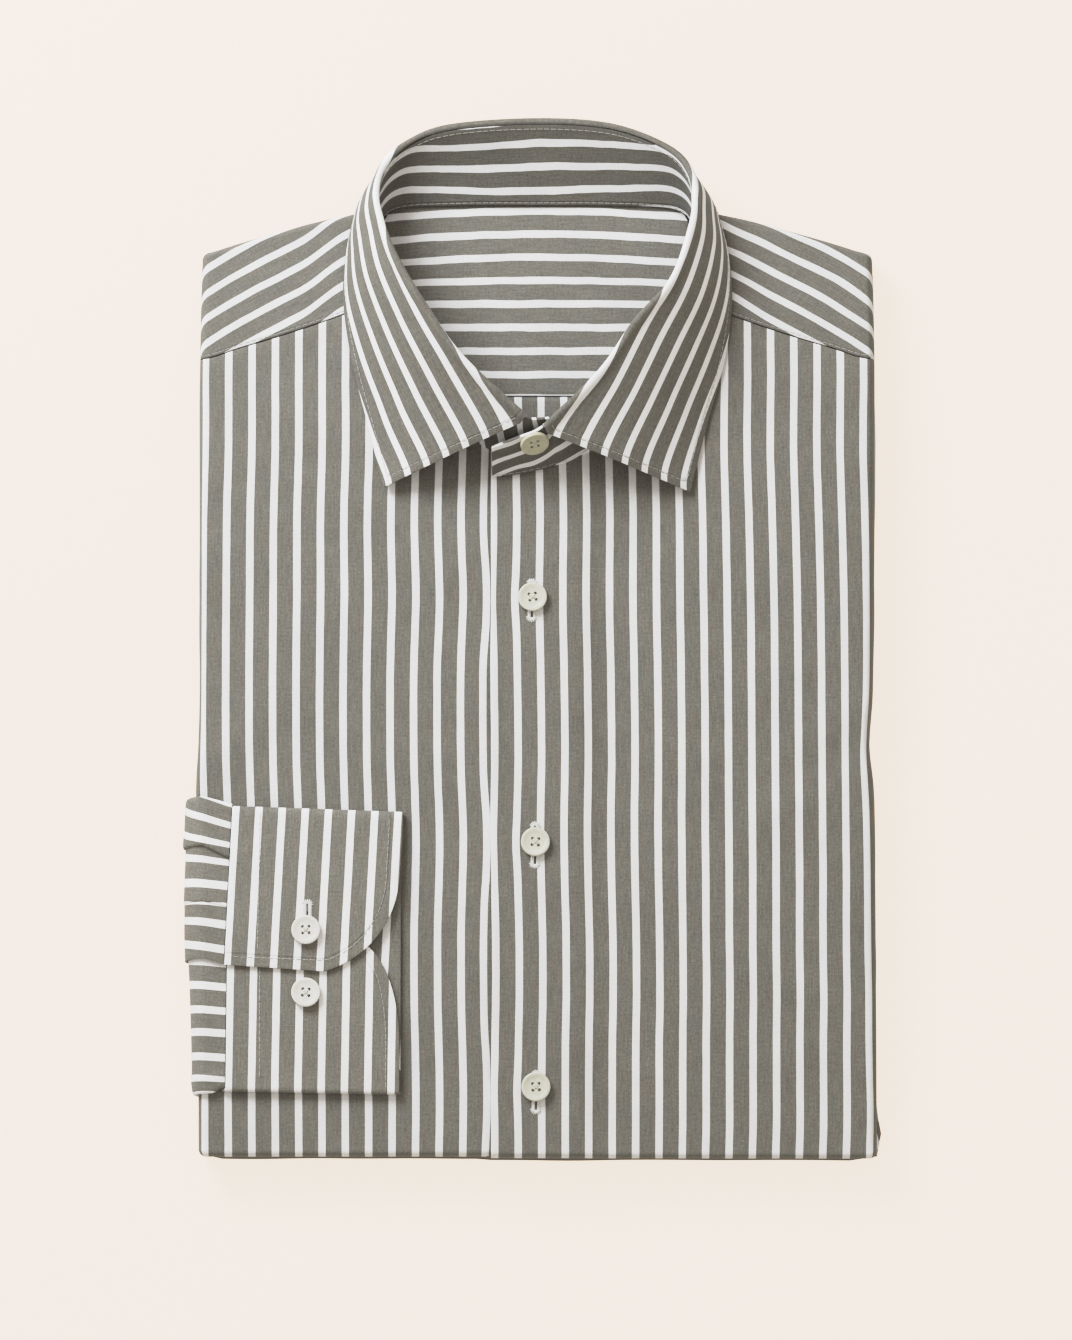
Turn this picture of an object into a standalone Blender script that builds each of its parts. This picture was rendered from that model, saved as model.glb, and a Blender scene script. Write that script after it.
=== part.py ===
"""Folded dress shirt: cut-and-sewn pieces round one block of folded layers.

The sizes below are in millimetres, measured from the hem fold (y = 0) and the
front fastening line (x = 0), with z up from the surface the shirt lies on.
+Y runs to the collar. At the end every piece is moved so that the origin is
at the bottom centre of the whole shirt, and meshes are made in metres.
"""

import math

import bpy
import bmesh
from mathutils import Matrix, Vector

MM = 0.001

# Cloth and clearances
CLOTH = 1.2              # wall of the body cloth
SLEEVE_CLOTH = 1.0
LAYER_GAP = 0.35         # between two layers that lie on each other
SEAM_GAP = 0.3           # between two pieces that are sewn edge to edge
CORE_GAP = 0.7           # between the folded layers and the cloth round them

# The folded body
SIDE_ROLL = 3.0          # plan radius of the folds at the sides, hem and shoulders
ROLL_ANGLE = math.radians(150.0)
WRAP_END = 7.0           # height where the front cloth turns in under the fold
CROWN = 0.8              # rise of the middle above the side folds
BODY_HALF = 127.5
HEM_STEP = 0.7           # the under front's hem lies this far inside the other's
HEM_LAP_STEP = 1.8       # and this far where the other front covers it
CORE_HEM_CLEAR = 0.25    # the folded layers start this much further in
CORE_FOLD_CLEAR = 0.35   # and end this much short of the shoulder folds
SLOPE_STEP = 3.0         # reach over which the slope of the cloth is taken

# Height of the body's upper side along its length
BODY_RISE = (
    {"y": 0.0, "top": 15.0},
    {"y": 80.0, "top": 18.6},
    {"y": 180.0, "top": 20.4},
    {"y": 262.0, "top": 20.5},
    {"y": 318.0, "top": 18.4},
    {"y": 345.0, "top": 15.6},
    {"y": 368.0, "top": 13.4},
)

# The side folds are not quite straight: each row is one bend of them
SIDE_FOLDS = (
    {"y": -10.0, "left": -126.4, "right": 127.6},
    {"y": 60.0, "left": -127.2, "right": 128.0},
    {"y": 140.0, "left": -128.4, "right": 127.6},
    {"y": 158.0, "left": -127.6, "right": 125.8},
    {"y": 180.0, "left": -127.2, "right": 127.4},
    {"y": 304.0, "left": -127.9, "right": 129.0},
    {"y": 370.0, "left": -126.6, "right": 127.6},
)

# Spans of the cloth pieces, as shares of their length or distances from the middle
FRONT_SHARES = (0.0, 0.04, 0.1, 0.18, 0.27, 0.36, 0.455, 0.513, 0.58, 0.68, 0.78, 0.87, 0.94, 1.0)
YOKE_SHARES = (0.0, 0.2, 0.45, 0.7, 0.88, 1.0)
ROLL_SHARES = (0.25, 0.5, 0.75, 1.0)
NECK_COLUMNS = (24.0, 34.0, 43.0, 50.0, 55.5, 58.6)

# Largest soft folds of the two fronts, as ridges from one point to another
FRONT_FOLDS = (
    {"x0": 124.0, "y0": 172.0, "x1": 92.0, "y1": 150.0, "rise": 0.7, "wide": 7.0},
    {"x0": 124.0, "y0": 146.0, "x1": 84.0, "y1": 128.0, "rise": 0.6, "wide": 8.0},
    {"x0": -122.0, "y0": 150.0, "x1": -96.0, "y1": 178.0, "rise": 0.6, "wide": 8.0},
    {"x0": 60.0, "y0": 30.0, "x1": 52.0, "y1": 205.0, "rise": 0.5, "wide": 12.0},
    {"x0": -62.0, "y0": 150.0, "x1": -70.0, "y1": 245.0, "rise": 0.5, "wide": 12.0},
    {"x0": -10.0, "y0": 240.0, "x1": -34.0, "y1": 222.0, "rise": 0.5, "wide": 7.0},
)

# Front fastening
PLACKET_EDGE = -16.5     # edge of the front that laps over
LAP_END = 15.0           # edge of the front beneath
LAP_SLOPE = 11.0         # width over which the upper front comes down again
LAP_COLUMNS = (-8.0, 0.0, 8.0)
LAP_UNDER_STEP = 1.0     # the front beneath ends this much before the slope
CREASE_CLEAR = 2.0       # it carries no creases from here to its edge

# Neck hole, an ellipse in front of a straight-sided back
NECK_HALF = 62.8
NECK_LENGTH = 80.0
NECK_CENTRE_Y = 346.0
NECK_FLOOR = 12.5        # upper face of the yoke inside the neck
FRONT_NECK_SCALE = 0.97  # the fronts reach this far into the neck seam
NECK_CLEAR = 1.2         # the yoke's neck edge lies this far outside the seam
FLOOR_SCALE = 0.9        # the pieces seen through the neck reach this far out
DIP_START = 1.1          # the folded layers rise again from here
DIP_SLOPE = 0.2

# Front seam of the yoke and shoulder fold, by distance from the middle
YOKE_FRONT = (
    {"x": 55.0, "seam": 326.5, "fold": 366.0},
    {"x": 73.0, "seam": 320.6, "fold": 362.2},
    {"x": 100.0, "seam": 313.0, "fold": 354.6},
    {"x": 128.0, "seam": 304.4, "fold": 345.0},
)
BACK_EDGE_Y = 366.4      # the block's end behind the neck
BACK_EDGE_HALF = 55.0    # half width of that straight end
NECK_CORNER_X = 61.6     # where yoke, front and collar meet
SHOULDER_COLUMNS = (70.0, 84.0, 99.0, 112.0)

# Yoke seen inside the neck: half width along its length
YOKE_INSIDE = (
    {"y": 292.9, "half": 37.5},
    {"y": 310.0, "half": 49.0},
    {"y": 330.0, "half": 55.6},
    {"y": 346.0, "half": 58.2},
    {"y": 357.0, "half": 57.2},
    {"y": 363.0, "half": 54.0},
    {"y": 366.0, "half": 49.0},
)
FLOOR_ROWS = (292.9, 302.0, 312.0, 322.0, 333.0, 344.0, 353.0, 359.0, 363.5, 366.0)
FLOOR_SHARES = (-1.0, -0.86, -0.66, -0.44, -0.22, 0.0, 0.22, 0.44, 0.66, 0.86, 1.0)
BACK_ROWS = (276.0, 281.0, 287.0, 292.6)

# Collar: one row for each station, from the lapped end of the stand round the
# neck to the other end. seam is the neck seam, fold the upper fold and edge
# the outer edge of the leaf. fall is 1 where the stand carries the leaf.
COLLAR = (
    {"seam": (-16.6, 259.8, 0), "fold": (-16.9, 268.6, 36.5), "fall": 0},
    {"seam": (-8.0, 261.6, 0), "fold": (-8.5, 271.4, 39.5), "fall": 0},
    {"seam": (0.0, 263.5, 0), "fold": (-0.5, 274.0, 41.5), "fall": 0},
    {"seam": (7.0, 265.4, 0), "fold": (4.0, 276.8, 42.6), "fall": 0},
    {"seam": (14.0, 267.8, 0), "fold": (7.0, 279.4, 43.4), "edge": (58.6, 253.8, 0), "fall": 1},
    {"seam": (30.5, 277.5, 0), "fold": (24.3, 296.8, 47.0), "edge": (64.8, 279.5, 0), "fall": 1},
    {"seam": (44.0, 292.0, 0), "fold": (39.5, 314.0, 48.0), "edge": (71.3, 303.5, 0), "fall": 1},
    {"seam": (55.0, 311.0, 0), "fold": (51.0, 332.0, 45.5), "edge": (74.4, 326.0, 0), "fall": 1},
    {"seam": (61.0, 332.0, 19.0), "fold": (57.9, 351.8, 41.0), "edge": (73.6, 344.5, 0), "fall": 1},
    {"seam": (62.5, 346.0, 17.0), "fold": (59.8, 364.4, 36.5), "edge": (71.0, 357.0, 0), "fall": 1},
    {"seam": (61.5, 357.5, 14.8), "fold": (58.0, 376.6, 32.0), "edge": (67.0, 368.5, 12.0), "fall": 1},
    {"seam": (54.0, 365.6, 13.6), "fold": (49.2, 387.0, 28.5), "edge": (57.0, 376.0, 6.0), "fall": 1},
    {"seam": (31.0, 367.2, 13.2), "fold": (28.3, 394.4, 26.6), "edge": (31.0, 374.5, 3.4), "fall": 1},
    {"seam": (0.0, 367.3, 13.2), "fold": (0.0, 396.5, 26.0), "edge": (0.0, 373.5, 2.8), "fall": 1},
    {"seam": (-31.0, 367.2, 13.2), "fold": (-32.8, 394.0, 26.6), "edge": (-31.0, 374.5, 3.4), "fall": 1},
    {"seam": (-54.0, 365.6, 13.6), "fold": (-48.6, 388.4, 28.5), "edge": (-57.0, 376.0, 6.0), "fall": 1},
    {"seam": (-61.5, 357.5, 14.8), "fold": (-57.6, 378.4, 32.0), "edge": (-66.8, 369.0, 12.0), "fall": 1},
    {"seam": (-62.5, 346.0, 17.0), "fold": (-60.2, 367.4, 36.5), "edge": (-70.2, 358.5, 0), "fall": 1},
    {"seam": (-61.0, 332.0, 19.0), "fold": (-58.2, 356.0, 41.0), "edge": (-72.4, 345.5, 0), "fall": 1},
    {"seam": (-55.0, 313.0, 0), "fold": (-51.0, 341.5, 45.5), "edge": (-73.2, 328.0, 0), "fall": 1},
    {"seam": (-44.0, 296.0, 0), "fold": (-39.8, 322.6, 48.0), "edge": (-70.0, 305.5, 0), "fall": 1},
    {"seam": (-31.0, 281.5, 0), "fold": (-25.1, 302.2, 47.0), "edge": (-63.8, 280.0, 0), "fall": 1},
    {"seam": (-18.0, 270.5, 23.9), "fold": (-8.5, 281.8, 43.0), "edge": (-57.8, 255.4, 0), "fall": 1},
    {"seam": (-7.0, 268.0, 0), "fold": (-2.0, 280.0, 41.0), "fall": 0},
    {"seam": (7.0, 270.0, 0), "fold": (5.0, 282.0, 39.6), "fall": 0},
)
SEAM_LIFT = 0.95         # the stand's seam line above the cloth it is sewn to
LEAF_LIFT = 1.05         # the leaf's edge above the cloth it lies on
RIGHT_TIP_LIFT = 1.6     # height of the collar points above the fronts
LEFT_TIP_LIFT = 2.8
STAND_BULGE = 0.8
STAND_ROWS = 4
LEAF_BULGE = 2.6
LEAF_FLATTEN = 0.3       # the bulge is this much less towards the edge
STAND_DROP = 3.0         # the stand ends this far below the fold

# Cross-section of the collar leaf at its fold: along the stand, away from it
LEAF_FOLD = (
    {"down": 2.2, "out": 0.0},
    {"down": 0.6, "out": 0.0},
    {"down": -0.4, "out": 0.5},
    {"down": -0.4, "out": 1.4},
    {"down": 0.7, "out": 2.0},
    {"down": 3.0, "out": 2.2},
)
LEAF_ROWS = 6            # sections between the fold and the leaf's edge
COLLAR_STEPS = 2         # spans between two stations of the table

# Cuff and sleeve end, a flattened tube that laps over itself. Each row is one
# bend of its cross-section: y along the shirt, rise above the front. lap is 1
# in the end that laps over, -1 in the end beneath and 0 in the layer under both.
CUFF_SECTION = (
    {"y": 69.6, "rise": 4.45, "lap": 1},
    {"y": 76.0, "rise": 4.45, "lap": 1},
    {"y": 84.0, "rise": 4.4, "lap": 1},
    {"y": 92.0, "rise": 4.2, "lap": 1},
    {"y": 100.0, "rise": 4.0, "lap": 1},
    {"y": 108.0, "rise": 3.8, "lap": 1},
    {"y": 120.0, "rise": 3.5, "lap": 1},
    {"y": 128.5, "rise": 3.2, "lap": 1},
    {"y": 130.9, "rise": 2.5, "lap": 1},
    {"y": 130.9, "rise": 1.6, "lap": 1},
    {"y": 128.5, "rise": 1.1, "lap": 0},
    {"y": 100.0, "rise": 1.1, "lap": 0},
    {"y": 60.0, "rise": 1.1, "lap": 0},
    {"y": 25.5, "rise": 1.1, "lap": 0},
    {"y": 23.1, "rise": 1.4, "lap": 0},
    {"y": 23.1, "rise": 2.3, "lap": 0},
    {"y": 25.5, "rise": 2.85, "lap": -1},
    {"y": 44.0, "rise": 2.85, "lap": -1},
    {"y": 56.0, "rise": 2.85, "lap": -1},
    {"y": 66.0, "rise": 2.85, "lap": -1},
    {"y": 75.0, "rise": 2.85, "lap": -1},
    {"y": 83.0, "rise": 2.85, "lap": -1},
)
CUFF_SEAM_X = -115.5
CUFF_SEAM_LEAN = -2.0    # how far the seam leans out at the lower end
CUFF_EDGE_X = -49.9
CUFF_DROP = -1.5         # the free edge lies this much nearer the hem
CUFF_CORNER_X = 29.0     # the rounded corners of the two lapped ends
CUFF_CORNER_Y = 39.0
CUFF_CORNER_REACH = 1.5  # the rounding starts this much nearer the end
CUFF_OVER_RISE = 4.4     # height of the two laps above the front at the buttons
CUFF_UNDER_RISE = 2.85
CUFF_OVER_END = 69.6
CUFF_UNDER_END = 83.0
CUFF_TOP = 131.0
CUFF_BOTTOM = 22.5
CUFF_COLUMNS = 7

SLEEVE_SECTION = (
    {"y": 70.4, "rise": 4.2},
    {"y": 84.0, "rise": 4.2},
    {"y": 93.5, "rise": 3.9},
    {"y": 95.5, "rise": 4.2},
    {"y": 104.0, "rise": 3.6},
    {"y": 112.6, "rise": 3.1},
    {"y": 114.0, "rise": 4.3},
    {"y": 122.0, "rise": 3.5},
    {"y": 130.8, "rise": 3.0},
    {"y": 133.2, "rise": 2.4},
    {"y": 133.2, "rise": 1.5},
    {"y": 130.8, "rise": 1.0},
    {"y": 100.0, "rise": 1.0},
    {"y": 60.0, "rise": 1.0},
    {"y": 25.0, "rise": 1.0},
    {"y": 22.6, "rise": 1.4},
    {"y": 22.6, "rise": 2.1},
    {"y": 25.0, "rise": 2.6},
    {"y": 29.0, "rise": 3.2},
    {"y": 33.0, "rise": 2.6},
    {"y": 60.0, "rise": 2.6},
    {"y": 82.0, "rise": 2.6},
)
SLEEVE_FLAT = 1.0        # height of the sleeve's layer next to the front
SLEEVE_TUCK = 8.0        # length of the sleeve that runs in under the body
SLEEVE_COLUMNS = (0.0, 0.5)
SLEEVE_TURN = (0.0, 22.0, 45.0, 67.0, 90.0, 112.0, 135.0, 157.0, 180.0)
SLEEVE_UNDER = 5.7       # height to which the sleeve turns down under the body
SLEEVE_PRESS = 0.8       # its layers lie this much closer round the side fold

# Folded layers: edge of each layer below the front's fold, as steps in and out
LAYER_EDGE = (
    {"z": 6.1, "out": -2.0},
    {"z": 5.9, "out": 2.2},
    {"z": 5.1, "out": 3.1},
    {"z": 4.3, "out": 2.2},
    {"z": 3.9, "out": 0.8},
    {"z": 3.5, "out": 2.4},
    {"z": 2.7, "out": 3.5},
    {"z": 2.1, "out": 2.2},
    {"z": 1.8, "out": 1.0},
    {"z": 1.4, "out": 2.4},
    {"z": 0.7, "out": 2.8},
    {"z": 0.0, "out": 1.6},
)
CORE_TURN = (45.0, 90.0, 125.0, 150.0)
CORE_COLUMNS = (16.0, 31.0, 44.0, 54.0, 63.0, 73.0, 88.0, 106.0)
LAYER_HEM = 1.9          # the layers reach this much further at the hem
TOP_FROM = 298.0         # from here up, the block narrows to the shoulder folds
SLEEVE_RECESS = 12.0     # the layers are this much shorter where the sleeve tucks in
RECESS_FROM = 18.5
RECESS_TO = 137.5
RECESS_STEP = 3.0        # width of the step at each end of that recess
CORE_ROWS = (
    RECESS_FROM - RECESS_STEP, RECESS_FROM, 60.0, 98.0, RECESS_TO, RECESS_TO + RECESS_STEP,
    158.0, 178.0, 208.0, 232.0, 246.0, 257.0, 269.0, 282.0, TOP_FROM,
)
CORE_TOP_SHARES = (0.33, 0.6, 0.82, 1.0)

# Buttons
BUTTON_RADIUS = 5.5
BUTTON_HEIGHT = 2.2
BUTTON_SIDES = 20
HOLE_RADIUS = 0.65
HOLE_OFFSET = 1.35
HOLE_SIDES = 6
FRONT_BUTTONS = (212.4, 119.2, 24.9)
FRONT_BUTTON_X = 0.3
CUFF_BUTTON_X = -86.2
CUFF_BUTTON_OVER = 85.0
CUFF_BUTTON_UNDER = 61.2
COLLAR_BUTTON_UP = 0.56  # share of the stand's height

# Profile of a button from its middle to its underside
BUTTON_PROFILE = (
    {"r": 0.62, "z": 0.62},
    {"r": 0.74, "z": 0.95},
    {"r": 0.88, "z": 1.0},
    {"r": 0.98, "z": 0.72},
    {"r": 1.0, "z": 0.4},
    {"r": 0.86, "z": 0.06},
    {"r": 0.6, "z": 0.0},
)

# Overall reach of the finished shirt, used to centre it on the origin
REACH_LEFT = -132.25
REACH_RIGHT = 129.49
REACH_HEM = -0.35
REACH_COLLAR = 398.02

# Finishes
STRIPED_CLOTH = {"colour": (0.47, 0.45, 0.41, 1.0), "roughness": 0.8}
COLLAR_CLOTH = {"colour": (0.50, 0.48, 0.44, 1.0), "roughness": 0.75}
INNER_CLOTH = {"colour": (0.40, 0.38, 0.34, 1.0), "roughness": 0.85}
BUTTON_WHITE = {"colour": (0.82, 0.80, 0.72, 1.0), "roughness": 0.35}


def smooth_step(t):
    """Ease from 0 to 1."""
    t = min(1.0, max(0.0, t))
    return t * t * (3.0 - 2.0 * t)


def along(rows, key, at, column):
    """Smooth value of a table's column at one place along its key column."""
    keys = [row[key] for row in rows]
    at = min(keys[-1], max(keys[0], at))
    last = len(rows) - 2
    i = next((k for k in range(last) if at < keys[k + 1]), last)
    span = keys[i + 1] - keys[i]
    t = (at - keys[i]) / span
    before = max(0, i - 1)
    after = min(len(rows) - 1, i + 2)
    start, end = rows[i][column], rows[i + 1][column]
    slope_in = (end - rows[before][column]) / (keys[i + 1] - keys[before]) * span
    slope_out = (rows[after][column] - start) / (keys[after] - keys[i]) * span
    return (
        start * (2 * t**3 - 3 * t**2 + 1)
        + slope_in * (t**3 - 2 * t**2 + t)
        + end * (3 * t**2 - 2 * t**3)
        + slope_out * (t**3 - t**2)
    )


def side_fold(y, side):
    """Outermost x of the side fold at one height up the body."""
    return along(SIDE_FOLDS, "y", y, "left" if side < 0 else "right")


def body_height(x, y):
    """Upper face of the body without its creases."""
    return along(BODY_RISE, "y", y, "top") + CROWN * (1.0 - (x / BODY_HALF) ** 2)


def crease_height(x, y):
    """Rise of the soft folds of the fronts at one point."""
    total = 0.0
    for fold in FRONT_FOLDS:
        start = Vector((fold["x0"], fold["y0"]))
        run = Vector((fold["x1"], fold["y1"])) - start
        t = (Vector((x, y)) - start).dot(run) / run.length_squared
        near = start + run * min(1.0, max(0.0, t))
        away = (Vector((x, y)) - near).length / fold["wide"]
        total += fold["rise"] * math.exp(-away * away)
    return total


def lap_height(x):
    """Rise of the upper front where the other one lies beneath it."""
    if x < PLACKET_EDGE - SEAM_GAP:
        return 0.0
    return (CLOTH + LAYER_GAP) * (1.0 - smooth_step((x - LAP_END) / LAP_SLOPE))


def front_height(x, y):
    """Upper face of the fronts as they lie buttoned."""
    return body_height(x, y) + crease_height(x, y) + lap_height(x)


def neck_distance(x, y):
    """1 on the neck seam, less inside it and more outside."""
    forward = max(0.0, NECK_CENTRE_Y - y) / NECK_LENGTH
    return math.hypot(x / NECK_HALF, forward)


def core_height(x, y):
    """Upper face of the folded layers, which dip inside the neck."""
    under_front = body_height(x, y) - CLOTH - CORE_GAP
    under_yoke = NECK_FLOOR - CLOTH - LAYER_GAP
    away = smooth_step((neck_distance(x, y) - DIP_START) / DIP_SLOPE)
    return under_yoke + (under_front - under_yoke) * away


def wrapped(x, y, top, side, u, end, v):
    """Point of cloth that lies on the body and rolls over its edges.

    u and v run from 0 on the flat to 1 where the cloth ends under the fold,
    over the side (side is -1 or 1) and over the hem or shoulder (end).
    """
    depth = max(u, v)
    if depth == 0.0:
        return Vector((x, y, top))
    share = v / u if u >= v else 2.0 - u / v
    heading = share * math.pi / 4.0
    turn = ROLL_ANGLE * depth
    out = SIDE_ROLL * math.sin(turn)
    drop = (top - WRAP_END) * (1.0 - math.cos(turn)) / (1.0 - math.cos(ROLL_ANGLE))
    return Vector((
        x + side * out * math.cos(heading),
        y + end * out * math.sin(heading),
        top - drop,
    ))


def material(name, finish):
    """A piece's own material."""
    made = bpy.data.materials.new(name)
    made.use_nodes = True
    shader = made.node_tree.nodes["Principled BSDF"]
    shader.inputs["Base Color"].default_value = finish["colour"]
    shader.inputs["Roughness"].default_value = finish["roughness"]
    shader.inputs["Metallic"].default_value = 0.0
    made.diffuse_color = finish["colour"]
    return made


def add_object(name, mesh, finish):
    """A piece of the shirt with its mesh and its own material."""
    mesh.materials.clear()
    mesh.materials.append(material(name, finish))
    made = bpy.data.objects.new(name, mesh)
    bpy.context.scene.collection.objects.link(made)
    return made


def cloth_sheet(name, rows, finish, thickness=CLOTH, middle=False, flip=False):
    """Cloth wall over a grid of points; thickness goes in, or both ways."""
    mesh = bpy.data.meshes.new(name)
    grid = bmesh.new()
    points = [[grid.verts.new(p * MM) for p in row] for row in rows]
    for low, high in zip(points, points[1:]):
        for a, b, c, d in zip(low, low[1:], high[1:], high):
            corners = (a, d, c, b) if flip else (a, b, c, d)
            grid.faces.new(corners)
    grid.to_mesh(mesh)
    grid.free()
    mesh.shade_smooth()
    made = add_object(name, mesh, finish)
    wall = made.modifiers.new("Cloth thickness", "SOLIDIFY")
    wall.thickness = thickness * MM
    wall.offset = 0.0 if middle else -1.0
    return made


def closed_loft(name, rings, cap_rows, finish):
    """Solid from rings of equal count; the first ring is closed by a grid."""
    mesh = bpy.data.meshes.new(name)
    solid = bmesh.new()
    loops = [[solid.verts.new(p * MM) for p in ring] for ring in rings]
    for upper, lower in zip(loops, loops[1:]):
        count = len(upper)
        for i in range(count):
            j = (i + 1) % count
            solid.faces.new((upper[i], lower[i], lower[j], upper[j]))
    solid.faces.new(loops[-1][::-1])
    across = len(cap_rows[0]) - 1
    up = len(cap_rows) - 1
    edge = {}
    rim = (
        [(0, i) for i in range(across)]
        + [(j, across) for j in range(up)]
        + [(up, i) for i in range(across, 0, -1)]
        + [(j, 0) for j in range(up, 0, -1)]
    )
    for place, vert in zip(rim, loops[0]):
        edge[place] = vert
    cap = [
        [edge.get((j, i)) or solid.verts.new(cap_rows[j][i] * MM) for i in range(across + 1)]
        for j in range(up + 1)
    ]
    for low, high in zip(cap, cap[1:]):
        for a, b, c, d in zip(low, low[1:], high[1:], high):
            solid.faces.new((a, b, c, d))
    bmesh.ops.triangulate(solid, faces=[f for f in solid.faces if len(f.verts) > 4])
    solid.to_mesh(mesh)
    solid.free()
    mesh.shade_smooth()
    return add_object(name, mesh, finish)


def shoulder_fold(x):
    """Plan line of the fold over the shoulder, and behind the neck."""
    if abs(x) < BACK_EDGE_HALF:
        return BACK_EDGE_Y
    return along(YOKE_FRONT, "x", abs(x), "fold")


def build_folded_layers():
    """Back, tail and sleeves folded flat: one block with layered edges."""
    columns = [-x for x in CORE_COLUMNS[::-1]] + [0.0] + list(CORE_COLUMNS)
    rows = [(SIDE_ROLL + HEM_LAP_STEP + CORE_HEM_CLEAR, 0.0)]
    rows += [(y, 0.0) for y in CORE_ROWS]
    rows += [(TOP_FROM, share) for share in CORE_TOP_SHARES]
    cap = []
    for start, share in rows:
        line = []
        for x in [None] + columns + [None]:
            side = -1 if not line else 1
            fold = shoulder_fold(BODY_HALF - SIDE_ROLL if x is None else x) - SIDE_ROLL
            fold -= CORE_FOLD_CLEAR
            y = start + share * (fold - start)
            across = side_fold(y, side) - side * SIDE_ROLL if x is None else x
            line.append(Vector((across, y, core_height(across, y))))
        cap.append(line)
    across = len(cap[0]) - 1
    up = len(cap) - 1
    rim = (
        [(0, i, (0, -1)) for i in range(across)]
        + [(j, across, (1, 0)) for j in range(up)]
        + [(up, i, (0, 1)) for i in range(across, 0, -1)]
        + [(j, 0, (-1, 0)) for j in range(up, 0, -1)]
    )
    slant = math.sqrt(0.5)
    corners = {
        (0, 0): (-slant, -slant), (0, across): (slant, -slant),
        (up, across): (slant, slant), (up, 0): (-slant, slant),
    }
    inner_roll = SIDE_ROLL - CLOTH - CORE_GAP
    inner_end = WRAP_END + CLOTH + LAYER_GAP
    rings = [[cap[j][i] for j, i, _ in rim]]
    for turn in CORE_TURN:
        ring = []
        for j, i, heading in rim:
            base = cap[j][i]
            heading = corners.get((j, i), heading)
            angle = math.radians(turn)
            out = inner_roll * math.sin(angle)
            share = (1.0 - math.cos(angle)) / (1.0 - math.cos(ROLL_ANGLE))
            drop = (base.z - inner_end) * share
            ring.append(base + Vector((heading[0] * out, heading[1] * out, -drop)))
        rings.append(ring)
    for layer in LAYER_EDGE:
        ring = []
        for j, i, heading in rim:
            base = cap[j][i]
            heading = corners.get((j, i), heading)
            out = layer["out"] + (LAYER_HEM if heading[1] < 0 else 0.0)
            if heading == (-1, 0) and RECESS_FROM <= base.y <= RECESS_TO:
                out = min(out, 0.0) - SLEEVE_RECESS
            ring.append(Vector((base.x + heading[0] * out, base.y + heading[1] * out, layer["z"])))
        rings.append(ring)
    return closed_loft("folded_layers", rings, cap, INNER_CLOTH)


def front_top_edge(x):
    """Upper edge of a front: the yoke seam, then the neck seam."""
    seam = along(YOKE_FRONT, "x", abs(x), "seam") - SEAM_GAP / 2.0
    reach = abs(x) / (NECK_HALF * FRONT_NECK_SCALE)
    if reach >= 1.0:
        return seam
    forward = NECK_LENGTH * FRONT_NECK_SCALE * math.sqrt(1.0 - reach * reach)
    return min(seam, NECK_CENTRE_Y - forward)


def build_front(name, side, columns, height, hem):
    """One front panel, folded round the side and the hem."""
    down = [(0.0, v) for v in reversed(ROLL_SHARES)] + [(g, 0.0) for g in FRONT_SHARES]
    out = [(x, 0.0) for x in columns] + [(None, 0.0)] + [(None, u) for u in ROLL_SHARES]
    rows = []
    for g, v in down:
        line = []
        for x, u in out:
            nominal = side * (BODY_HALF - SIDE_ROLL) if x is None else x
            low = SIDE_ROLL + hem(nominal)
            y = low + g * (front_top_edge(nominal) - low)
            place = side_fold(y, side) - side * SIDE_ROLL if x is None else x
            line.append(wrapped(place, y, height(place, y), side, u, -1, v))
        rows.append(line)
    return cloth_sheet(name, rows, STRIPED_CLOTH, flip=side < 0)


def build_fronts():
    edge_columns = NECK_COLUMNS + (NECK_CORNER_X,) + SHOULDER_COLUMNS
    over = (PLACKET_EDGE,) + LAP_COLUMNS + (LAP_END,) + edge_columns
    build_front("front_buttonhole_side", 1, over, front_height, lambda x: 0.0)
    under = [LAP_END - LAP_UNDER_STEP] + list(LAP_COLUMNS[::-1]) + [PLACKET_EDGE]
    under += [-x for x in edge_columns]

    def under_height(x, y):
        creased = x < PLACKET_EDGE - CREASE_CLEAR
        return body_height(x, y) + (crease_height(x, y) if creased else 0.0)

    def under_hem(x):
        covered = smooth_step((x - PLACKET_EDGE) / LAP_SLOPE + 1.0)
        return HEM_STEP + (HEM_LAP_STEP - HEM_STEP) * covered

    build_front("front_button_side", -1, under, under_height, under_hem)


def neck_edge_x(y):
    """Half width of the neck seam at one height up the body."""
    forward = max(0.0, NECK_CENTRE_Y - y) / NECK_LENGTH
    return NECK_HALF * math.sqrt(1.0 - min(1.0, forward) ** 2)


def build_shoulder(name, side):
    """Half of the yoke that shows in front, rolled over shoulder and side."""
    out = [(x, 0.0) for x in (NECK_CORNER_X,) + SHOULDER_COLUMNS]
    out += [(None, 0.0)] + [(None, u) for u in ROLL_SHARES]
    up = [(g, 0.0) for g in YOKE_SHARES] + [(1.0, v) for v in ROLL_SHARES]
    rows = []
    for g, v in up:
        line = []
        for x, u in out:
            nominal = BODY_HALF - SIDE_ROLL if x is None else x
            low = along(YOKE_FRONT, "x", nominal, "seam") + SEAM_GAP / 2.0
            high = along(YOKE_FRONT, "x", nominal, "fold") - SIDE_ROLL
            y = low + g * (high - low)
            if x is None:
                place = side_fold(y, side) - side * SIDE_ROLL
            elif x == NECK_CORNER_X:
                place = side * (neck_edge_x(y) + NECK_CLEAR)
            else:
                place = side * x
            line.append(wrapped(place, y, body_height(place, y), side, u, 1, v))
        rows.append(line)
    return cloth_sheet(name, rows, STRIPED_CLOTH, flip=side < 0)


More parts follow.
